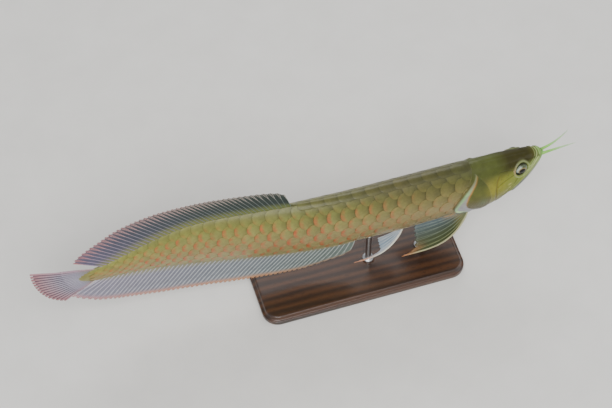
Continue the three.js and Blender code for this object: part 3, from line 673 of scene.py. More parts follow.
class Builder:
    """What the operators share: each one makes its pieces and raises if it can't."""

    bl_options = {"REGISTER", "UNDO"}

    def execute(self, context):
        self.build(context.scene.arowana)
        return {"FINISHED"}


# The skin's rings: RING_HALF points down each side, close together along the head and wider apart behind it.
SWELL = smooth(((8, 0), (28, 2.4), (58, 3.6), (86, 4.4), (104, 3.0), (124, 0.8), (138, 0)))
RING_HALF = 120
HEAD_END = 140
HEAD_SPACING = 0.65
BODY_SPACING = 3.2
RELIEF_END = 150
SNOUT = (-1.3, -1.1, -0.7, -0.3)
SNOUT_LEVEL = 33
SKIN_UNDER_SCALES = -0.55
SHADE_UNDER_SCALES = 0.7


def head_swell(s, v):
    """How far jaw and gill covers bulge past the smooth section, as on a fish that breathes in."""
    return SWELL(s) * step(0.25, 0.55, v) * (1 - step(0.86, 0.99, v))


def head_relief(s, out, up, sizes):
    """The head's relief over its smooth skin, with depths and widths in millimetres, and the masks that its
    paint goes by."""
    mouth, mouth_share = beside(MOUTH_LINE, s, up)
    gill, _ = beside(GILL_LINE, s, up)
    front, _ = beside(OPERCLE_FRONT, s, up)
    hard, hard_share = beside(OPERCLE_EDGE, s, up)
    preopercle, preopercle_share = beside(PREOPERCLE_LINE, s, up)
    jaw_ridge, _ = beside(JAW_RIDGE, s, up)
    jaw, _ = beside(JAW_LINE, s, up)
    subopercle, _ = beside(SUBOPERCLE_LINE, s, up)
    eye = np.hypot(s - EYE[0], up - EYE[1])
    turn = np.arctan2(up - EYE[1], s - EYE[0])
    nape = step(28, 42, up)
    ahead = 1 - step(-0.8, 1.1, gill)
    mouth_fade = 1 - step(0.95, 1.0, mouth_share)
    maxilla_wide = 4.0 + 3.4 * mouth_share**2
    upper_lip = step(0.3, 1.2, mouth) * (1 - step(maxilla_wide, maxilla_wide + 0.9, mouth)) * mouth_fade
    lower_lip = step(0.3, 1.3, -mouth) * (1 - step(4.2, 7.0, -mouth)) * mouth_fade
    plate = step(-0.7, 0.9, front) * ahead
    soft = step(-0.5, 0.9, hard) * ahead * plate
    # Lips and chin, with the slit of the mouth and the bone of the upper jaw behind it.
    chin = step(0.2, 1.5, -mouth) * (1 - step(7, 15, -mouth)) * mouth_fade
    lift = sizes.lip_lift / MM * (upper_lip + 0.9 * lower_lip + 0.9 * chin)
    lift = lift - 2.2 * hill(mouth, 0.8) * mouth_fade
    lift = lift + 0.4 * hill(mouth - maxilla_wide * 0.5, 0.7) * upper_lip
    lift = lift - 0.6 * hill(mouth - maxilla_wide - 1.2, 0.6) * mouth_fade
    # The gill cover with its soft edge, and the bones in front of and under it.
    lift = lift + sizes.gill_lift / MM * plate - 0.6 * soft
    lift = lift + 0.8 * hill(gill + 0.8, 1.6) * ahead * step(-30, -5, -up)
    preopercle_fade = step(0.0, 0.12, preopercle_share) * (1 - step(0.93, 1.0, preopercle_share))
    lift = lift - 0.9 * hill(preopercle, 0.8) * preopercle_fade
    lift = lift + (0.5 * hill(preopercle - 2.4, 1.4) + 0.5 * hill(preopercle + 2.2, 1.3)) * preopercle_fade
    lift = lift - 0.5 * hill(subopercle, 0.6) * plate
    lift = lift + 0.6 * hill(jaw_ridge, 2.0) * (1 - upper_lip)
    # Grooves between the cheek plates and at the hinge of the jaw, and folds of the throat.
    grooves = np.zeros(np.shape(s))
    for line in CHEEK_LINES:
        groove, _ = beside(line, s, up)
        grooves = np.maximum(grooves, hill(groove, 0.75))
        lift = lift + 0.25 * hill(np.abs(groove) - 2.0, 1.0)
    lift = lift - 0.8 * grooves
    hinge = hill(jaw, 0.8) * step(0.9, 1.0, mouth_share)
    lift = lift - 0.7 * hinge
    folds = step(-30, -22, gill) * (1 - step(-5, -2, gill)) * step(20, 26, -up) * (1 - plate)
    lift = lift + 0.25 * np.sin(gill * 2 * math.pi / 2.7) * folds
    # Fine rays of bone that spread over the gill cover from its hub.
    pivot = np.arctan2(up - GILL_HUB[1], s - GILL_HUB[0])
    far = np.hypot(up - GILL_HUB[1], s - GILL_HUB[0])
    striae = np.sin(pivot * 52 + 2 * np.sin(far * 0.2)) * step(5, 14, far) * plate * (1 - soft)
    lift = lift + 0.14 * striae
    lift = lift + 0.16 * np.cos(pivot * 26 + 1) * soft * step(14, 30, far)
    # Pores under the jaw's ridge and on the cheek, and the nostrils.
    pores = np.zeros(np.shape(s))
    for x in np.linspace(10, 56, 6):
        pores = np.maximum(pores, hill(np.hypot(s - x, up - np.interp(x, *np.array(JAW_RIDGE).T) + 3.2), 0.9))
    for x, y in CHEEK_PORES:
        pores = np.maximum(pores, hill(np.hypot(s - x, up - y), 0.8))
    lift = lift - 0.7 * pores
    for x, y in NOSTRILS:
        near = np.hypot(s - x, (up - y) * 1.1)
        lift = lift + 0.8 * hill(near - 1.9, 0.7) - 1.6 * hill(near, 0.9)
        pores = np.maximum(pores, hill(near, 1.1))
    # Ridges of the crown, and the rim and socket of the eye.
    crown, _ = beside(CROWN_LINE, s, up)
    crown_fade = step(18, 30, s) * (1 - step(82, 96, s))
    lift = lift + 0.5 * hill(crown, 1.5) * crown_fade - 0.4 * hill(out, 1.8) * crown_fade * step(34, 40, up)
    lift = lift + 1.1 * hill(eye - 11.0, 1.2) * (1 + 0.25 * np.sin(turn)) - 0.35 * hill(eye - 13.6, 0.8)
    socket = lift * step(9.0, 10.4, eye) - 1.4 * (1 - step(8.8, 10.2, eye)) - 3.2 * (1 - step(7.8, 8.7, eye))
    lift = np.where(eye < 10.4, socket, lift)
    # Behind the gill cover the skin drops under the scales, at once on the flank and bit by bit on the nape.
    behind = step(-0.8, 1.1 + 12.5 * nape, gill)
    slot = step(-0.8, 1.1, gill) * hill(gill - 1.2, 1.6) * (1 - nape)
    lift = lift * np.where(nape > 0, 1 - behind, ahead) + SKIN_UNDER_SCALES * behind - 1.1 * slot
    masks = dict(
        mouth=hill(mouth, 0.9) * mouth_fade, from_mouth=mouth, mouth_share=mouth_share, upper_lip=upper_lip,
        lower_lip=lower_lip, jaw=step(-0.3, 1.2, -jaw), plate=plate, soft=soft, gill=gill, hard=hard,
        hard_share=hard_share, eye=eye, turn=turn, preopercle=hill(preopercle, 0.9) * preopercle_fade,
        ahead=ahead, slot=slot, grooves=np.maximum(grooves, hinge), pores=pores, striae=striae, behind=behind)
    return lift, masks


def head_colour(s, v, up, masks):
    """The head's paint: brown crown, yellow-green cheek, lilac jaw, gill cover with a pale soft edge, painted
    light and shade along the gill cover's striae, and painted shade in grooves, pores, eye socket, mouth slit
    and gill slit.
    """
    crown = ramp(s, (
        (0, "#66743a"), (10, "#454415"), (22, "#2f2c09"), (52, "#322f0c"), (72, "#474d1f"), (100, "#4a4f24")))
    cheek = ramp(s, ((0, "#759049"), (20, "#6c7b35"), (45, "#747e31"), (68, "#7b7a27"), (90, "#6f6a30")))
    low = ramp(s, ((0, "#80936a"), (40, "#747a62"), (70, "#6f6e4c"), (110, "#827f60")))
    jaw = ramp(s, ((0, "#6f8d4c"), (12, "#6c7c59"), (30, "#71746f"), (62, "#6d6d68")))
    cover = ramp(up, ((-40, "#6b6753"), (-18, "#57533d"), (0, "#545029"), (16, "#535723"), (36, "#41471e")))
    pale = ramp(up, ((-36, "#95949c"), (-10, "#959397"), (20, "#908e7a"), (44, "#6d7048")))
    mouth = masks["from_mouth"]
    bands = 0.5 + 0.5 * np.cos((mouth - 1.8) * 2 * math.pi / 3.3)
    front = (1 - step(10, 13, mouth)) * step(-9, -6, mouth) * (1 - step(0.5, 0.72, masks["mouth_share"]))
    flecks = 0 * s
    for x, y, long, tilt in CHEEK_FLECKS:
        flecks = np.maximum(flecks, hill(np.hypot((s - x) / long, (up - y + tilt * (s - x)) / 0.9), 1))
    colour = layered(
        crown,
        (cheek, step(0.17, 0.36, v)),
        (low, step(0.5, 0.8, v) * 0.9),
        (jaw, masks["jaw"]),
        ("#4f6a26", 0.45 * (1 - bands) * front),
        ("#c2cf8d", 0.6 * bands**2 * front),
        ("#6cae4c", (1 - step(1, 9, s)) * 0.75),
        ("#8b9657", 0.4 * masks["upper_lip"]),
        ("#939592", 0.5 * masks["lower_lip"] * step(0.2, 0.5, masks["mouth_share"])),
        ("#c9c27e", flecks * 0.6),
        (cover, masks["plate"] * 0.9),
        ("#908a2d", 0.55 * hill(np.hypot((s - 80) / 1.1, (up - 16) / 1.3), 7)),
        ("#586847", 0.5 * hill(np.hypot(s - 93, (up + 1) / 1.5), 6)))
    line = hill(masks["hard"], 1.1) * masks["plate"] * hill(masks["hard_share"] - 0.3, 0.22)
    streak = hill(masks["gill"] + 2.4, 2.3) * masks["ahead"] * step(-34, -26, up) * (1 - step(18, 34, up))
    ring = hill(masks["eye"] - 11.2, 1.3)
    return layered(
        # Painted light and shade: the gill cover is lighter along its striae and darker between them.
        colour * (1 + 0.09 * masks["striae"][..., None]),
        (pale, masks["soft"]),
        ("#bb7c3f", 0.7 * line),
        ("#8cc274", 0.75 * streak),
        ("#d3edb0", 0.85 * streak * hill(up + 24, 7)),
        ("#5b4423", 0.5 * masks["preopercle"]),
        # Painted shade in the cheek's grooves and the jaw's hinge, and in the pores and nostrils.
        ("#343512", 0.5 * masks["grooves"] * (1 - masks["jaw"])),
        ("#3a3a24", 0.7 * masks["pores"]),
        ("#99a56c", 0.55 * ring),
        ("#b5746a", 0.4 * ring * hill(masks["turn"] - 0.2, 0.5)),
        # Painted shade in the eye's socket, along the mouth's slit and in the gill slit.
        ("#16170e", 1 - step(8.8, 9.9, masks["eye"])),
        ("#23260f", 0.85 * masks["mouth"]),
        ("#3a2a20", 0.8 * masks["slot"]))


class AROWANA_OT_skin(Builder, bpy.types.Operator):
    """Builds the one skin of head, trunk and tail, with lips, gill covers and cheek plates in its surface"""

    bl_idname = "arowana.skin"
    bl_label = "Skin"

    def build(self, sizes):
        head = np.arange(0, HEAD_END, HEAD_SPACING)
        rest = np.arange(HEAD_END, STUMP[0], BODY_SPACING)
        end = STUMP[1] - (STUMP[1] - STUMP[0]) * (1 - np.linspace(0, 1, 14)) ** 1.6
        stations = np.concatenate((SNOUT, head, rest, end[:-1]))
        ring = 2 * RING_HALF
        k = np.arange(ring)
        side = np.where(k > RING_HALF, 1, -1)
        share = np.where(k > RING_HALF, ring - k, k) / RING_HALF
        s, v = np.meshgrid(stations, share, indexing="ij")
        out, up, _, _ = on_flank(np.maximum(s, 0), v)
        tip = np.sqrt(np.clip(1 - (np.minimum(s, 0) / SNOUT[0]) ** 2, 0.02, 1))
        out, up = out * tip, SNOUT_LEVEL + (up - SNOUT_LEVEL) * np.where(s < 0, tip, 1)
        points = place(s, side * out, up)
        around = np.roll(points, -1, 1) - np.roll(points, 1, 1)
        along = np.gradient(points, axis=0)
        normal = unit(np.cross(along, around))
        on_head = s < RELIEF_END
        lift, masks = head_relief(s, out, up, sizes)
        lift = np.where(on_head, lift + head_swell(s, v) * masks["ahead"], SKIN_UNDER_SCALES)
        points = points + normal * lift[..., None] * MM
        stump_colour = ramp(v, ((0, "#7f7a45"), (1, "#8f8a5a")))
        colour = layered(
            body_colour(s, v) * SHADE_UNDER_SCALES,
            (head_colour(s, v, up, masks), (1 - masks["behind"]) * on_head),
            (stump_colour, step(STUMP[0] - 6, STUMP[0] + 10, s)))
        unwrap = np.stack((np.clip(s / TOTAL_LENGTH, 0, 1), np.where(side > 0, 1 - v / 2, v / 2)), -1)
        heap = Heap()
        faces = ring_faces(len(stations), ring, flip=True)
        heap.add(points, faces, tint=colour.reshape(-1, 3), unwrap=unwrap.reshape(-1, 2))
        heap.piece(
            "body_skin", wet_skin(), "skin_head",
            "head", "lower_jaw", "gill_cover_left", "gill_cover_right", "trunk", "tail")


# The scales: rows from ridge to keel, each scale one thin curved plate that lies over the next behind it.
# The first is SCALE_FIRST long and the last SCALE_LAST, and every second row is set back by half a scale.
SCALE_START, SCALE_END, SCALE_COLUMNS, SCALE_ROWS = 82, 640, 32, 7
SCALE_FIRST, SCALE_LAST = 22, 13
HIND_SHARE = (0.45, 0.95)
ROOT_REACH = 1.5
SCALE_WIDE = 0.66
ROW_HEIGHT = 17
PAST_GILL = 1.5
BEFORE_END = 13
RIDGE_BREADTH, KEEL_BREADTH = 0.8, 0.7

# A plate is a grid of PLATE points each way. Its rim reaches down to the scales behind, most at ridge and keel.
PLATE = 13
MIDDLE_SKIRT, SKIRT = 1.1, 0.5


def scale_stations(x):
    """The station of a place counted in scales from the first column."""
    t = np.arange(SCALE_COLUMNS + 2) / (SCALE_COLUMNS + 1)
    grown = (SCALE_FIRST * t + (SCALE_LAST - SCALE_FIRST) * t * t / 2) * 2 / (SCALE_FIRST + SCALE_LAST)
    return np.interp(x, np.arange(SCALE_COLUMNS + 2), SCALE_START + (SCALE_END - SCALE_START) * grown)


class AROWANA_OT_scales(Builder, bpy.types.Operator):
    """Builds the big overlapping scales of both flanks, each one a thin curved plate"""

    bl_idname = "arowana.scales"
    bl_label = "Scales"

    def build(self, sizes):
        random = np.random.default_rng(7)
        material = scale_plate(sizes.blush)
        across = np.sin(np.linspace(-math.pi / 2, math.pi / 2, PLATE))
        down = np.sin(np.linspace(0, math.pi / 2, PLATE))
        a, b = np.meshgrid(down, across, indexing="ij")
        for name, side in SIDES:
            rows = [((row + 0.5) / SCALE_ROWS, row % 2, 1.0) for row in range(SCALE_ROWS)]
            if side > 0:
                rows += [(0.0, 1, RIDGE_BREADTH), (1.0, SCALE_ROWS % 2, KEEL_BREADTH)]
            heap = Heap()
            for level, parity, breadth in rows:
                for column in range(SCALE_COLUMNS + 1):
                    self.scale(heap, sizes, random, side, level, parity, breadth, column, a, b)
            heap.piece("scales_" + name, material, "scales")

    def scale(self, heap, sizes, random, side, level, parity, breadth, column, a, b):
        """One scale at a share of the flank. a runs from its root to its hind edge, and b across it."""
        x = column + HIND_SHARE[1 - parity]
        hind, root = scale_stations(x), scale_stations(max(x - ROOT_REACH, 0))
        pitch = scale_stations(x + 0.5) - scale_stations(x - 0.5)
        _, up, _, _ = on_flank(np.array(hind), np.array(level))
        past_gill, _ = beside(GILL_LINE, np.array(hind), up)
        under_fin = (level == 0 and hind > DORSAL["start"]) or (level == 1 and hind > ANAL["start"])
        if past_gill < PAST_GILL or hind > STUMP[1] - BEFORE_END or under_fin:
            return
        bow = 0.42 * pitch * (1 - np.sqrt(np.clip(1 - b**2, 0, 1)))
        edge = hind - bow + random.normal(0, 0.25)
        wide = SCALE_WIDE / SCALE_ROWS * breadth * (0.72 + 0.28 * np.sin(np.clip(a, 0, 1) * math.pi * 0.62))
        s = root + (edge - root) * a
        middle = level in (0, 1)
        room_above = wide if middle else np.minimum(wide, level - 0.004)
        room_below = wide if middle else np.minimum(wide, 0.996 - level)
        v = level + b * np.where(b < 0, room_above, room_below)
        from_edge = edge - s
        rise = sizes.scale_rise / MM
        slope = 0.5 if middle else rise + 0.52
        lift = rise + 0.43 * middle - slope * from_edge / (ROOT_REACH * pitch) + 0.1 * (1 - b**2)
        lift = lift - 0.12 * hill(from_edge, 0.9) - 0.42 * middle * b**6
        lift = lift * (1 - 0.6 * step(596, 634, s))
        _, up, _, _ = on_flank(s, np.clip(np.abs(v), 0, 1))
        gill, _ = beside(GILL_LINE, s, up)
        lift = np.where(gill < 3.0, np.minimum(lift, -0.6 - 0.6 * np.clip(3.0 - gill, 0, 6)), lift)
        # The first scales of the nape rise out of the skin bit by bit.
        lift = np.where(up > 34, np.minimum(lift, 0.1 * gill - 0.6), lift) + random.normal(0, 0.03)
        # The underside of the rim reaches down to the scales behind, so that no slit shows.
        skirt = np.maximum(a, np.abs(b)) > 0.999
        thick = sizes.scale_thickness / MM * (1 - 0.45 * hill(from_edge, 1.2))
        thick = thick + (MIDDLE_SKIRT if middle else SKIRT) * skirt
        top = on_skin(s, v, side, lift)
        bottom = on_skin(s, v, side, lift - thick)
        size = PLATE * PLATE
        faces = grid_faces(PLATE, PLATE, flip=side < 0) + grid_faces(PLATE, PLATE, size, flip=side > 0)
        rim = grid_rim(PLATE, PLATE)
        quads = [[j, i, i + size, j + size] for i, j in zip(rim, rim[1:] + rim[:1])]
        faces += quads if side > 0 else [quad[::-1] for quad in quads]
        tint = body_colour(s, v) * (1 + random.normal(0, 0.05))
        tint = mixed(tint, tint * np.array((1.12, 1.02, 0.85)), np.full(s.shape, random.random() * 0.5))
        # Reddish crescents: faint on the shoulder, full along the flank, and none on back and belly.
        shoulder = 0.25 * step(105, 150, s) * step(0.2, 0.35, v)
        along = 0.75 * step(150, 330, s) * (1 - 0.75 * step(540, 620, s)) * step(0.06, 0.2, v)
        blush = (shoulder + along) * (1 - step(0.74, 0.88, v))
        blush = np.clip(blush * random.uniform(0.7, 1.3), 0, 1)
        # Strength of the dark net: the fish's own darker rims plus painted shade under the scale in front, most
        # on the upper flank ahead of the middle.
        net = (1 - step(0.2, 0.52, v)) * (1 - 0.7 * step(300, 470, s)) * 0.6 + 0.12
        lie = np.stack((from_edge, b * wide * SCALE_ROWS * ROW_HEIGHT, a), -1)
        around = 1 - level / 2 if side > 0 else level / 2
        where = np.stack((np.clip(root / TOTAL_LENGTH, 0, 1) + 0.003 * a, around + 0.003 * (b - 1) / 2), -1)
        values = dict(tint=tint, lie=lie, blush=blush, net=net, unwrap=np.clip(where, 0, 1))
        for key, value in values.items():
            both = np.tile(value.reshape(size, -1), (2, 1))
            values[key] = both.ravel() if value.ndim == 2 else both
        heap.add(np.concatenate((top.reshape(-1, 3), bottom.reshape(-1, 3))), faces, **values)


# The eyeball's radius and depth, how deep its middle lies, the bulge of its cornea, and the pupil's share.
EYE_RADIUS, EYE_DEPTH, EYE_SINK = 9.2, 6.0, 3.0
CORNEA = 0.7
PUPIL = 0.53
EYE_RINGS, EYE_SIDES = 40, 64


class AROWANA_OT_eyes(Builder, bpy.types.Operator):
    """Builds both eyes: flattened balls with a domed cornea, painted with pupil and silver iris"""

    bl_idname = "arowana.eyes"
    bl_label = "Eyes"

    def build(self, sizes):
        material = eye_glass()
        turns = np.arange(EYE_SIDES) * 2 * math.pi / EYE_SIDES
        for name, side in SIDES:
            polar, turn = np.meshgrid(np.linspace(0, math.pi, EYE_RINGS), turns, indexing="ij")
            radial = np.sin(polar)
            dome = EYE_DEPTH * np.cos(polar) + CORNEA * hill(radial, 0.55) * (polar < math.pi / 2)
            out = flank(np.array(EYE[0]), np.array(EYE[1])) - EYE_SINK
            s = EYE[0] - EYE_RADIUS * radial * np.cos(turn)
            up = EYE[1] + EYE_RADIUS * radial * np.sin(turn)
            points = place(s, side * (out + dome), up)
            colour = layered(
                sizes.silver,
                ("#3f4a28", 0.85 * step(-0.3, 0.8, np.sin(turn))),
                ("#6f7a66", 0.6 * step(0.2, 0.9, np.cos(turn))),
                ("#c3d0c0", 0.85 * step(0.3, 0.9, -np.cos(turn + 0.5)) * hill(radial - 0.74, 0.13)),
                ("#b89a58", 0.8 * hill(radial - PUPIL - 0.04, 0.05)),
                ("#060709", 1 - step(PUPIL - 0.03, PUPIL + 0.02, radial)),
                ("#2b2d1a", 0.8 * step(0.88, 0.97, radial)))
            faces = grid_faces(EYE_RINGS, EYE_SIDES, wrap=True, flip=side < 0)
            heap = Heap()
            heap.add(points, faces, tint=colour.reshape(-1, 3))
            piece = heap.piece("eyeball_" + name, material, "eye", "eye_" + name)
            self.close_poles(piece)

    def close_poles(self, piece):
        """Merges the points at both poles, so that the eyeball is one closed surface."""
        shape = bmesh.new()
        shape.from_mesh(piece.data)
        bmesh.ops.remove_doubles(shape, verts=shape.verts, dist=1e-7)
        shape.to_mesh(piece.data)
        shape.free()


# The fins' shapes. The solids have them a little plainer, and lower at the fronts of dorsal and anal fin.
# Heights and lean go by station, lengths by the place across the fin, and lean and angle are in degrees.
DORSAL = dict(
    name="dorsal", up=1, start=352, end=608, sway=3, tilt=0.14,
    height=smooth((
        (352, 20), (358, 26), (366, 29.5), (380, 33), (400, 35.8), (430, 37.5), (470, 36.8), (510, 36.8),
        (540, 36.5), (565, 33.6), (580, 31), (592, 28), (600, 24.5), (608, 19))),
    lean=smooth(((352, 15), (375, 30), (400, 36), (500, 42), (560, 46), (590, 51), (608, 60))),
)
ANAL = dict(
    name="anal", up=-1, start=263, end=611, sway=3, tilt=-0.21,
    height=smooth((
        (263, 19), (270, 26), (280, 30), (292, 34.5), (305, 37.5), (330, 38.5), (375, 37.6), (420, 37.6),
        (460, 39.7), (500, 41.2), (550, 39.5), (580, 34), (598, 25), (611, 16))),
    lean=smooth(((263, 18), (275, 30), (300, 40), (400, 42), (560, 42), (585, 48), (598, 57), (611, 68))),
)
CAUDAL = dict(
    root_half=12, root_level=1.5, angle=smooth(((0, 19), (0.5, -5), (1, -32))),
    length=smooth(((0, 84), (0.35, 76), (0.7, 66), (1, 51))),
)
PECTORAL = dict(
    name="pectoral", root=((101, -43.5), (110, -40)), root_out=-1.5, bow=3.5,
    length=smooth(((0, 103), (0.17, 84), (0.5, 77), (1, 70))),
    outward=smooth(((0, 34.5), (0.33, 24), (0.66, 11), (1, 2))),
    down=smooth(((0, 22), (0.33, 14.5), (0.66, 6.5), (1, 1))),
)
PELVIC = dict(
    name="pelvic", root=((196, -54), (204, -53)), root_out=-1, bow=2.8,
    length=smooth(((0, 72), (0.2, 34), (0.6, 31), (1, 28))),
    outward=smooth(((0, 22), (0.4, 15.5), (1, 4))), down=smooth(((0, 19), (0.4, 13.5), (1, 4))),
)
SWAY_LENGTH = 260

# A membrane is MEMBRANE thick, with FIN_ROWS points from root to margin and FIN_FINE from ray to ray.
MEMBRANE = 0.4
FIN_ROWS, FIN_FINE = 22, 4
RAY_REACH = 1.045
RAY_SIDES = 6
FORK_SWING, FORK_LAP = 0.17, 0.04


def median_point(fin, f, t):
    """A point of the dorsal or anal fin: f runs along its root and t from root to margin."""
    s = fin["start"] + (fin["end"] - fin["start"]) * f
    edge = back(s) if fin["up"] > 0 else belly(s)
    rise = fin["height"](s) * t
    station = s + rise * np.tan(np.radians(fin["lean"](s))) + 0.05 * rise * t
    share = np.clip(t, 0, None)
    sway = fin["sway"] * np.sin(2 * math.pi * station / SWAY_LENGTH) * share**1.5
    return place(station, rise * fin["tilt"] + sway, edge + fin["up"] * rise)


def caudal_point(f, t):
    """A point of the tail fin: f runs from its upper to its lower edge and t from root to margin."""
    angle = np.radians(CAUDAL["angle"](f))
    run = CAUDAL["length"](f) * t
    root_up = CAUDAL["root_level"] + CAUDAL["root_half"] * (1 - 2 * f)
    station = np.minimum(BODY_END + run * np.cos(angle), TOTAL_LENGTH + 2)
    return place(station, 0.6 * np.sin(station / 9) * np.clip(t, 0, 1), root_up + run * np.sin(angle))


def paired_point(fin, side):
    """Gives the function for the points of a pectoral or pelvic fin on one side."""
    (first, lowest), (last, highest) = fin["root"]

    def point(f, t):
        s, up = first + (last - first) * f, lowest + (highest - lowest) * f
        root_out = flank(s, up) + fin["root_out"]
        run = fin["length"](f) * t
        spread = 1 - np.clip(1 - run / fin["length"](0), 0, 1) ** fin["bow"]
        spread = np.where(t < 0, 0, spread)
        out = root_out + 1.5 * step(0, 0.1, t) + fin["outward"](f) * spread
        return place(s + run, side * out, up - fin["down"](f) * spread)

    return point


def build_fin(
        name, node, point, rays, paint, membrane, bone, root, ray_radius, taper, fork, notch=0.055,
        crowding=0.0):
    """A fin: one thin membrane with a notched margin, and rays that fork towards their tips.
    point gives the places, and paint the colours of membrane and rays, at f across the fin and t along it.
    root is where t starts, and crowding is how much thinner the rays are there."""
    columns = (rays - 1) * FIN_FINE + 1
    t, f = np.meshgrid(np.linspace(root, 1, FIN_ROWS), np.linspace(0, 1, columns), indexing="ij")
    between = 0.5 - 0.5 * np.cos(2 * math.pi * np.arange(columns) / FIN_FINE)
    middle = point(f, t * (RAY_REACH - notch * between[None] * np.clip(t, 0, 1) ** 3))
    points, faces = sheet_shell(middle, MEMBRANE * (1 + 1.2 * (1 - step(0, 0.35, t))))
    skin_colour, _ = paint(f, t)
    skin, bones = Heap(), Heap()
    skin.add(points, faces, tint=np.tile(skin_colour.reshape(-1, 3), (2, 1)))
    skin.piece(name + "_membrane", membrane, "fin", node)
    gap = 1 / (rays - 1)
    arms = ((root, fork + FORK_LAP, 0.0, 18), (fork, 1.0, -FORK_SWING, 12), (fork, 1.0, FORK_SWING, 12))
    for base in np.arange(rays) * gap:
        for start, end, swing, count in arms:
            u = np.linspace(start, end, count)
            g = np.clip(base + swing * gap * np.sqrt(step(fork, 1, u)), 0, 1)
            path = point(g, u * RAY_REACH)
            ahead = point(np.clip(g + 0.01, 0, 1), u * RAY_REACH)
            behind = point(np.clip(g - 0.01, 0, 1), u * RAY_REACH)
            size = ray_radius(base) * (1 - taper * np.clip(u, 0, 1)) * (0.8 if swing else 1)
            size = size * (1 - crowding + crowding * step(0, 0.45, u))
            made, quads = tube(path, unit(ahead - behind), size, size * 1.15, RAY_SIDES)
            _, colour = paint(g, u)
            run = np.concatenate(((0,), np.cumsum(np.linalg.norm(np.diff(path, axis=0), axis=1)))) / MM
            lie = np.stack((run, 0 * run, 0 * run), 1)
            bones.add(made, quads, tint=np.repeat(colour, RAY_SIDES, 0), lie=np.repeat(lie, RAY_SIDES, 0))
    bones.piece(name + "_rays", bone, "fin")


def paint_dorsal(f, t):
    """Colours of the dorsal fin: dark slate, olive at the root and rosy at the margin."""
    web = ramp(f, ((0, "#242e29"), (0.4, "#2c3733"), (0.7, "#3d424b"), (1, "#595569")))
    web = mixed(web, ramp(f, ((0, "#5d6536"), (0.5, "#6e713d"), (1, "#77764f"))), 1 - step(0.04, 0.36, t))
    tip = ramp(f, ((0, "#c4beb0"), (0.45, "#cdaaa2"), (1, "#bb7370")))
    ray = ramp(f, ((0, "#55635b"), (0.5, "#6c6d71"), (1, "#89798f")))
    return mixed(web, tip, 0.15 * step(0.8, 1, t)), mixed(ray, tip, step(0.45, 0.95, t))


def paint_anal(f, t):
    """Colours of the anal fin: grey, with an orange to pink margin."""
    web = ramp(f, ((0, "#66726a"), (0.3, "#6b7376"), (0.7, "#777883"), (1, "#84808f")))
    web = mixed(web, linear("#8f8b68"), 1 - step(0, 0.25, t))
    tip = ramp(f, ((0, "#a58d76"), (0.3, "#c88f60"), (0.75, "#c98f7c"), (1, "#c18c90")))
    ray = ramp(f, ((0, "#a5ada5"), (0.5, "#b0b4b6"), (1, "#b2abb8")))
    return mixed(web, tip, 0.8 * step(0.84, 0.99, t)), mixed(ray, tip, step(0.75, 0.97, t))


def paint_caudal(f, t):
    """Colours of the tail fin: violet grey, redder towards the tips."""
    web = ramp(t, ((0, "#67644f"), (0.3, "#5d5a6c"), (0.6, "#433f53"), (1, "#57404d")))
    ray = ramp(t, ((0, "#8f8b72"), (0.3, "#8f8b9b"), (0.6, "#9a919f"), (0.8, "#a6868d"), (1, "#a3696d")))
    edge = np.maximum(hill(f, 0.07), hill(1 - f, 0.07))
    return mixed(web, linear("#8d6872"), 0.5 * edge), mixed(ray, linear("#b27f87"), 0.5 * edge)


def paint_pectoral(f, t):
    """Colours of the pectoral fins: dark olive, golden at the root."""
    web = ramp(f, ((0, "#323a18"), (0.35, "#353d1e"), (0.65, "#3f4b47"), (1, "#525f63")))
    root = ramp(f, ((0, "#6a6436"), (0.5, "#8e7a2e"), (1, "#c8922a")))
    web = mixed(web, root, 1 - step(0.05, 0.32, t))
    web = mixed(web, linear("#d99a2c"), hill(1 - f, 0.2) * (1 - step(0.2, 0.5, t)))
    ray = ramp(f, ((0, "#a9a67c"), (0.16, "#59613a"), (1, "#6f7c7c")))
    tip = linear("#a1663a")
    web = mixed(web, tip, 0.5 * step(0.75, 1, t) * hill(f, 0.25))
    return web, mixed(ray, tip, step(0.7, 1, t) * hill(f, 0.2))


def paint_pelvic(f, t):
    """Colours of the pelvic fins: pale blue grey."""
    web = ramp(f, ((0, "#98a2a8"), (0.5, "#6f818e"), (1, "#8a9096")))
    ray = ramp(f, ((0, "#d8d5c4"), (0.2, "#a3abb0"), (1, "#a9aeb0")))
    tip = linear("#b97f5e")
    web = mixed(web, tip, 0.6 * step(0.5, 0.9, t) * hill(f, 0.1))
    return web, mixed(ray, tip, step(0.55, 0.85, t) * hill(f, 0.12))


class AROWANA_OT_median_fins(Builder, bpy.types.Operator):
    """Builds the dorsal, anal and tail fins: branched rays on a thin notched membrane"""

    bl_idname = "arowana.median_fins"
    bl_label = "Dorsal, Anal and Tail Fins"

    def build(self, sizes):
        membrane, bone = fin_membrane(), fin_ray()
        for fin, rays, paint, first, last in (
                (DORSAL, sizes.dorsal_rays, paint_dorsal, 0.52, 0.85),
                (ANAL, sizes.anal_rays, paint_anal, 0.82, 0.92)):
            build_fin(
                fin["name"] + "_fin_skin", fin["name"] + "_fin", partial(median_point, fin), rays, paint,
                membrane, bone, root=-0.12, taper=0.4, fork=0.6,
                ray_radius=partial(np.interp, xp=(0, 1), fp=(first, last)))
        build_fin(
            "caudal_fin_skin", "caudal_fin", caudal_point, sizes.caudal_rays, paint_caudal, membrane, bone,
            root=-0.1, ray_radius=lambda f: 1.5, taper=0.4, fork=0.5, crowding=0.6)


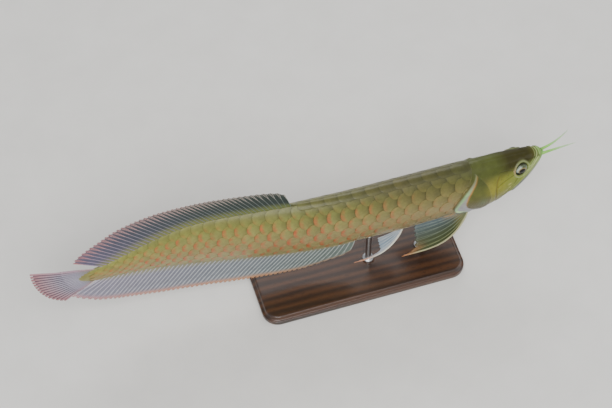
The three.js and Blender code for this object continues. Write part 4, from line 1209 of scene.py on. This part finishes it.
class AROWANA_OT_paired_fins(Builder, bpy.types.Operator):
    """Builds the pectoral and pelvic fins, with their long leading rays"""

    bl_idname = "arowana.paired_fins"
    bl_label = "Pectoral and Pelvic Fins"

    def build(self, sizes):
        membrane, bone = fin_membrane(), fin_ray()
        for name, side in SIDES:
            for fin, rays, paint, leading, other in (
                    (PECTORAL, 8, paint_pectoral, 1.7, 1.0), (PELVIC, 6, paint_pelvic, 1.6, 0.8)):
                build_fin(
                    fin["name"] + "_" + name, fin["name"] + "_fin_" + name, paired_point(fin, side), rays,
                    paint, membrane, bone, root=-0.02, taper=0.62, fork=0.5, notch=0.035,
                    ray_radius=lambda f, leading=leading, other=other: leading if f == 0 else other)


BARBEL = dict(
    root=2.5, out=3.4, up=31, length=46, spread=8, rise=11, radius=2.3, taper=0.8, point=2,
    rings=56, sides=16,
)


class AROWANA_OT_barbels(Builder, bpy.types.Operator):
    """Builds the two green barbels of the chin"""

    bl_idname = "arowana.barbels"
    bl_label = "Barbels"

    def build(self, sizes):
        material = wet_skin()
        for name, side in SIDES:
            t = np.linspace(-0.06, 1, BARBEL["rings"])
            s = BARBEL["root"] - (BARBEL["length"] + BARBEL["point"]) * t
            left = side * (BARBEL["out"] + BARBEL["spread"] * t * t)
            path = place(s, left, BARBEL["up"] + BARBEL["rise"] * t * t)
            taper = BARBEL["radius"] * (1 - BARBEL["taper"] * t) * np.sqrt(np.clip((1.0 - t) / 0.04, 0.02, 1))
            size = taper * (1 + 0.02 * np.sin(t * 190))
            points, faces = tube(path, np.array((0.0, 1.0, 0.0)), size, size, BARBEL["sides"])
            colour = ramp(t, ((0, "#7fae4c"), (0.3, "#86c25a"), (0.75, "#a3c98c"), (1, "#c4d4b6")))
            heap = Heap()
            heap.add(points, faces, tint=np.repeat(colour, BARBEL["sides"], 0))
            heap.piece("barbel_skin_" + name, material, "barbel", "barbel_" + name)


BASE = dict(length=290, width=120, thick=12, corner=22, corner_points=14)
RODS = (("front", 168), ("rear", 243))
ROD_RADIUS = 4
ROD_SIDES = 48
ROD_INSIDE = 2.5

# The collar's profile, as radius and height over the base.
COLLAR = ((7.6, 0), (8, 0.4), (8, 2.2), (7.2, 3.2), (5.2, 3.6), (4.5, 4.6), (ROD_RADIUS, 4.8))


class AROWANA_OT_stand(Builder, bpy.types.Operator):
    """Builds the stand: a stained wooden base with a moulded edge, and two steel rods in collars"""

    bl_idname = "arowana.stand"
    bl_label = "Stand"

    def build(self, sizes):
        self.board()
        steel = brushed_rod()
        for name, station in RODS:
            self.rod(name, station, steel)

    def outline(self, inset):
        """The rounded rectangle of the base, drawn in by an inset."""
        corner = BASE["corner"] - inset
        x, y = BASE["length"] / 2 - BASE["corner"], BASE["width"] / 2 - BASE["corner"]
        points = []
        for start, (cx, cy) in enumerate(((x, y), (-x, y), (-x, -y), (x, -y))):
            for turn in np.linspace(0, math.pi / 2, BASE["corner_points"]) + start * math.pi / 2:
                points.append((cx + corner * math.cos(turn), cy + corner * math.sin(turn)))
        return np.array(points)

    def board(self):
        """The base, as a stack of outlines: a small foot bevel, a flat side, a cove and a rounded lip."""
        curve = [(1.2, 0), (0.3, 0.4), (0, 1.2), (0, 6.4), (0.4, 6.9), (1.5, 7.3)]
        curve += [(1.5 + 2.6 * math.sin(a), 9.9 - 2.6 * math.cos(a)) for a in np.linspace(0.1, 1.1, 6)]
        curve += [(4.4, 9.4), (4.6, 10.6), (5.2, 11.5), (6.2, 11.9), (7.4, BASE["thick"])]
        sides = 4 * BASE["corner_points"]
        rings = [np.column_stack((self.outline(inset), np.full(sides, height))) for inset, height in curve]
        heap = Heap()
        heap.add(np.concatenate(rings) * MM, ring_faces(len(rings), sides))
        piece = heap.piece("wooden_base", stained_wood(), "base", "stand_base")
        piece.modifiers.new("Even Shading", "WEIGHTED_NORMAL").keep_sharp = True

    def rod(self, name, station, steel):
        """A rod with a turned collar at its foot and a rounded top inside the belly."""
        foot = place(station, 0, -AXIS_HEIGHT)
        top = AXIS_HEIGHT + belly(station) + ROD_INSIDE
        curve = [(radius, BASE["thick"] + height) for radius, height in COLLAR]
        curve += [(ROD_RADIUS, top - 1), (ROD_RADIUS - 1, top)]
        turn = np.arange(ROD_SIDES) * 2 * math.pi / ROD_SIDES
        rings = [np.stack((r * np.cos(turn), r * np.sin(turn), np.full(ROD_SIDES, z)), 1) for r, z in curve]
        points = np.concatenate(rings) * MM + np.array((foot[0], foot[1], 0))
        heap = Heap()
        heap.add(points, ring_faces(len(rings), ROD_SIDES))
        piece = heap.piece("steel_rod_" + name, steel, "rod", "stand_rod_" + name)
        piece.modifiers.new("Even Shading", "WEIGHTED_NORMAL")


# The stage: half of the floor's width in metres, and each light's name, place, width and power.
FLOOR_HALF = 6.0
LIGHTS = (
    ("key", (-0.5, -1.5, 2.1), 1.5, 58),
    ("fill", (1.7, -0.6, 1.2), 1.4, 12),
    ("rim", (0.3, 1.9, 1.5), 1.3, 24),
)
AIR_COLOUR = "#f7f9ff"
AIR_STRENGTH = 0.6

# The camera's sensor in millimetres and its reach in metres, and how far the picture's middle lies right of
# and above the body's axis at the base's middle, in millimetres.
SENSOR = 36
SIGHT = 50
VIEW_AIM = (-67.4, 16.3)


class AROWANA_OT_studio(Builder, bpy.types.Operator):
    """Sets the stage: a pale floor, soft lights and the camera"""

    bl_idname = "arowana.studio"
    bl_label = "Studio"

    def build(self, sizes):
        mesh = bpy.data.meshes.new("studio_floor")
        corners = [(FLOOR_HALF * x, FLOOR_HALF * y, 0) for x, y in ((-1, -1), (1, -1), (1, 1), (-1, 1))]
        mesh.from_pydata(corners, [], [(0, 1, 2, 3)])
        mesh.materials.append(studio_paint(sizes.floor))
        floor = bpy.data.objects.new("studio_floor", mesh)
        bpy.context.scene.collection.objects.link(floor)
        for light in LIGHTS:
            self.light(*light)
        world = bpy.data.worlds.new("studio_air")
        world.use_nodes = True
        air = world.node_tree.nodes["Background"].inputs
        air["Color"].default_value = rgba(AIR_COLOUR)
        air["Strength"].default_value = AIR_STRENGTH
        bpy.context.scene.world = world
        self.camera(sizes)

    def light(self, name, place_at, width, power):
        """A square soft light that shines on the fish."""
        lamp = bpy.data.lights.new("light_" + name, "AREA")
        lamp.shape = "SQUARE"
        lamp.size = width
        lamp.energy = power
        shining = bpy.data.objects.new("light_" + name, lamp)
        shining.location = place_at
        beam = Vector((0, 0, AXIS_HEIGHT * MM)) - Vector(place_at)
        shining.rotation_euler = beam.to_track_quat("-Z", "Y").to_euler()
        bpy.context.scene.collection.objects.link(shining)

    def camera(self, sizes):
        """Looks at the fish from the side and well above, with the aim off its middle as in the picture."""
        azimuth, elevation = sizes.view_azimuth, sizes.view_elevation
        level = math.cos(elevation)
        away = Vector((math.sin(azimuth) * level, -math.cos(azimuth) * level, math.sin(elevation)))
        right = Vector((math.cos(azimuth), math.sin(azimuth), 0))
        above = away.cross(right)
        aim = Vector((0, 0, AXIS_HEIGHT * MM)) + right * VIEW_AIM[0] * MM + above * VIEW_AIM[1] * MM
        lens = bpy.data.cameras.new("camera")
        lens.sensor_width = SENSOR
        lens.lens = SENSOR * sizes.view_distance / sizes.view_width
        lens.clip_end = SIGHT
        camera = bpy.data.objects.new("camera", lens)
        camera.location = aim + away * sizes.view_distance
        camera.rotation_euler = away.to_track_quat("Z", "Y").to_euler()
        bpy.context.scene.collection.objects.link(camera)
        bpy.context.scene.camera = camera


OPERATORS = (
    AROWANA_OT_studio, AROWANA_OT_skin, AROWANA_OT_scales, AROWANA_OT_eyes, AROWANA_OT_median_fins,
    AROWANA_OT_paired_fins, AROWANA_OT_barbels, AROWANA_OT_stand,
)


class AROWANA_PT_panel(bpy.types.Panel):
    """Lists the model's sizes and its building steps"""

    bl_label = "Silver Arowana"
    bl_idname = "AROWANA_PT_panel"
    bl_space_type = "VIEW_3D"
    bl_region_type = "UI"
    bl_category = "Arowana"

    def draw(self, context):
        for name in ArowanaSettings.__annotations__:
            self.layout.prop(context.scene.arowana, name)
        for operator in OPERATORS:
            self.layout.operator(operator.bl_idname)


CLASSES = (ArowanaSettings, *OPERATORS, AROWANA_PT_panel)


def register():
    """Registers the classes and the settings of the scene."""
    for each in CLASSES:
        bpy.utils.register_class(each)
    bpy.types.Scene.arowana = PointerProperty(type=ArowanaSettings)


def unregister():
    """Takes them out again."""
    del bpy.types.Scene.arowana
    for each in reversed(CLASSES):
        bpy.utils.unregister_class(each)


def main():
    """Builds everything in order."""
    register()
    for operator in OPERATORS:
        getattr(bpy.ops.arowana, operator.bl_idname.split(".")[1])()


if __name__ == "__main__":
    main()
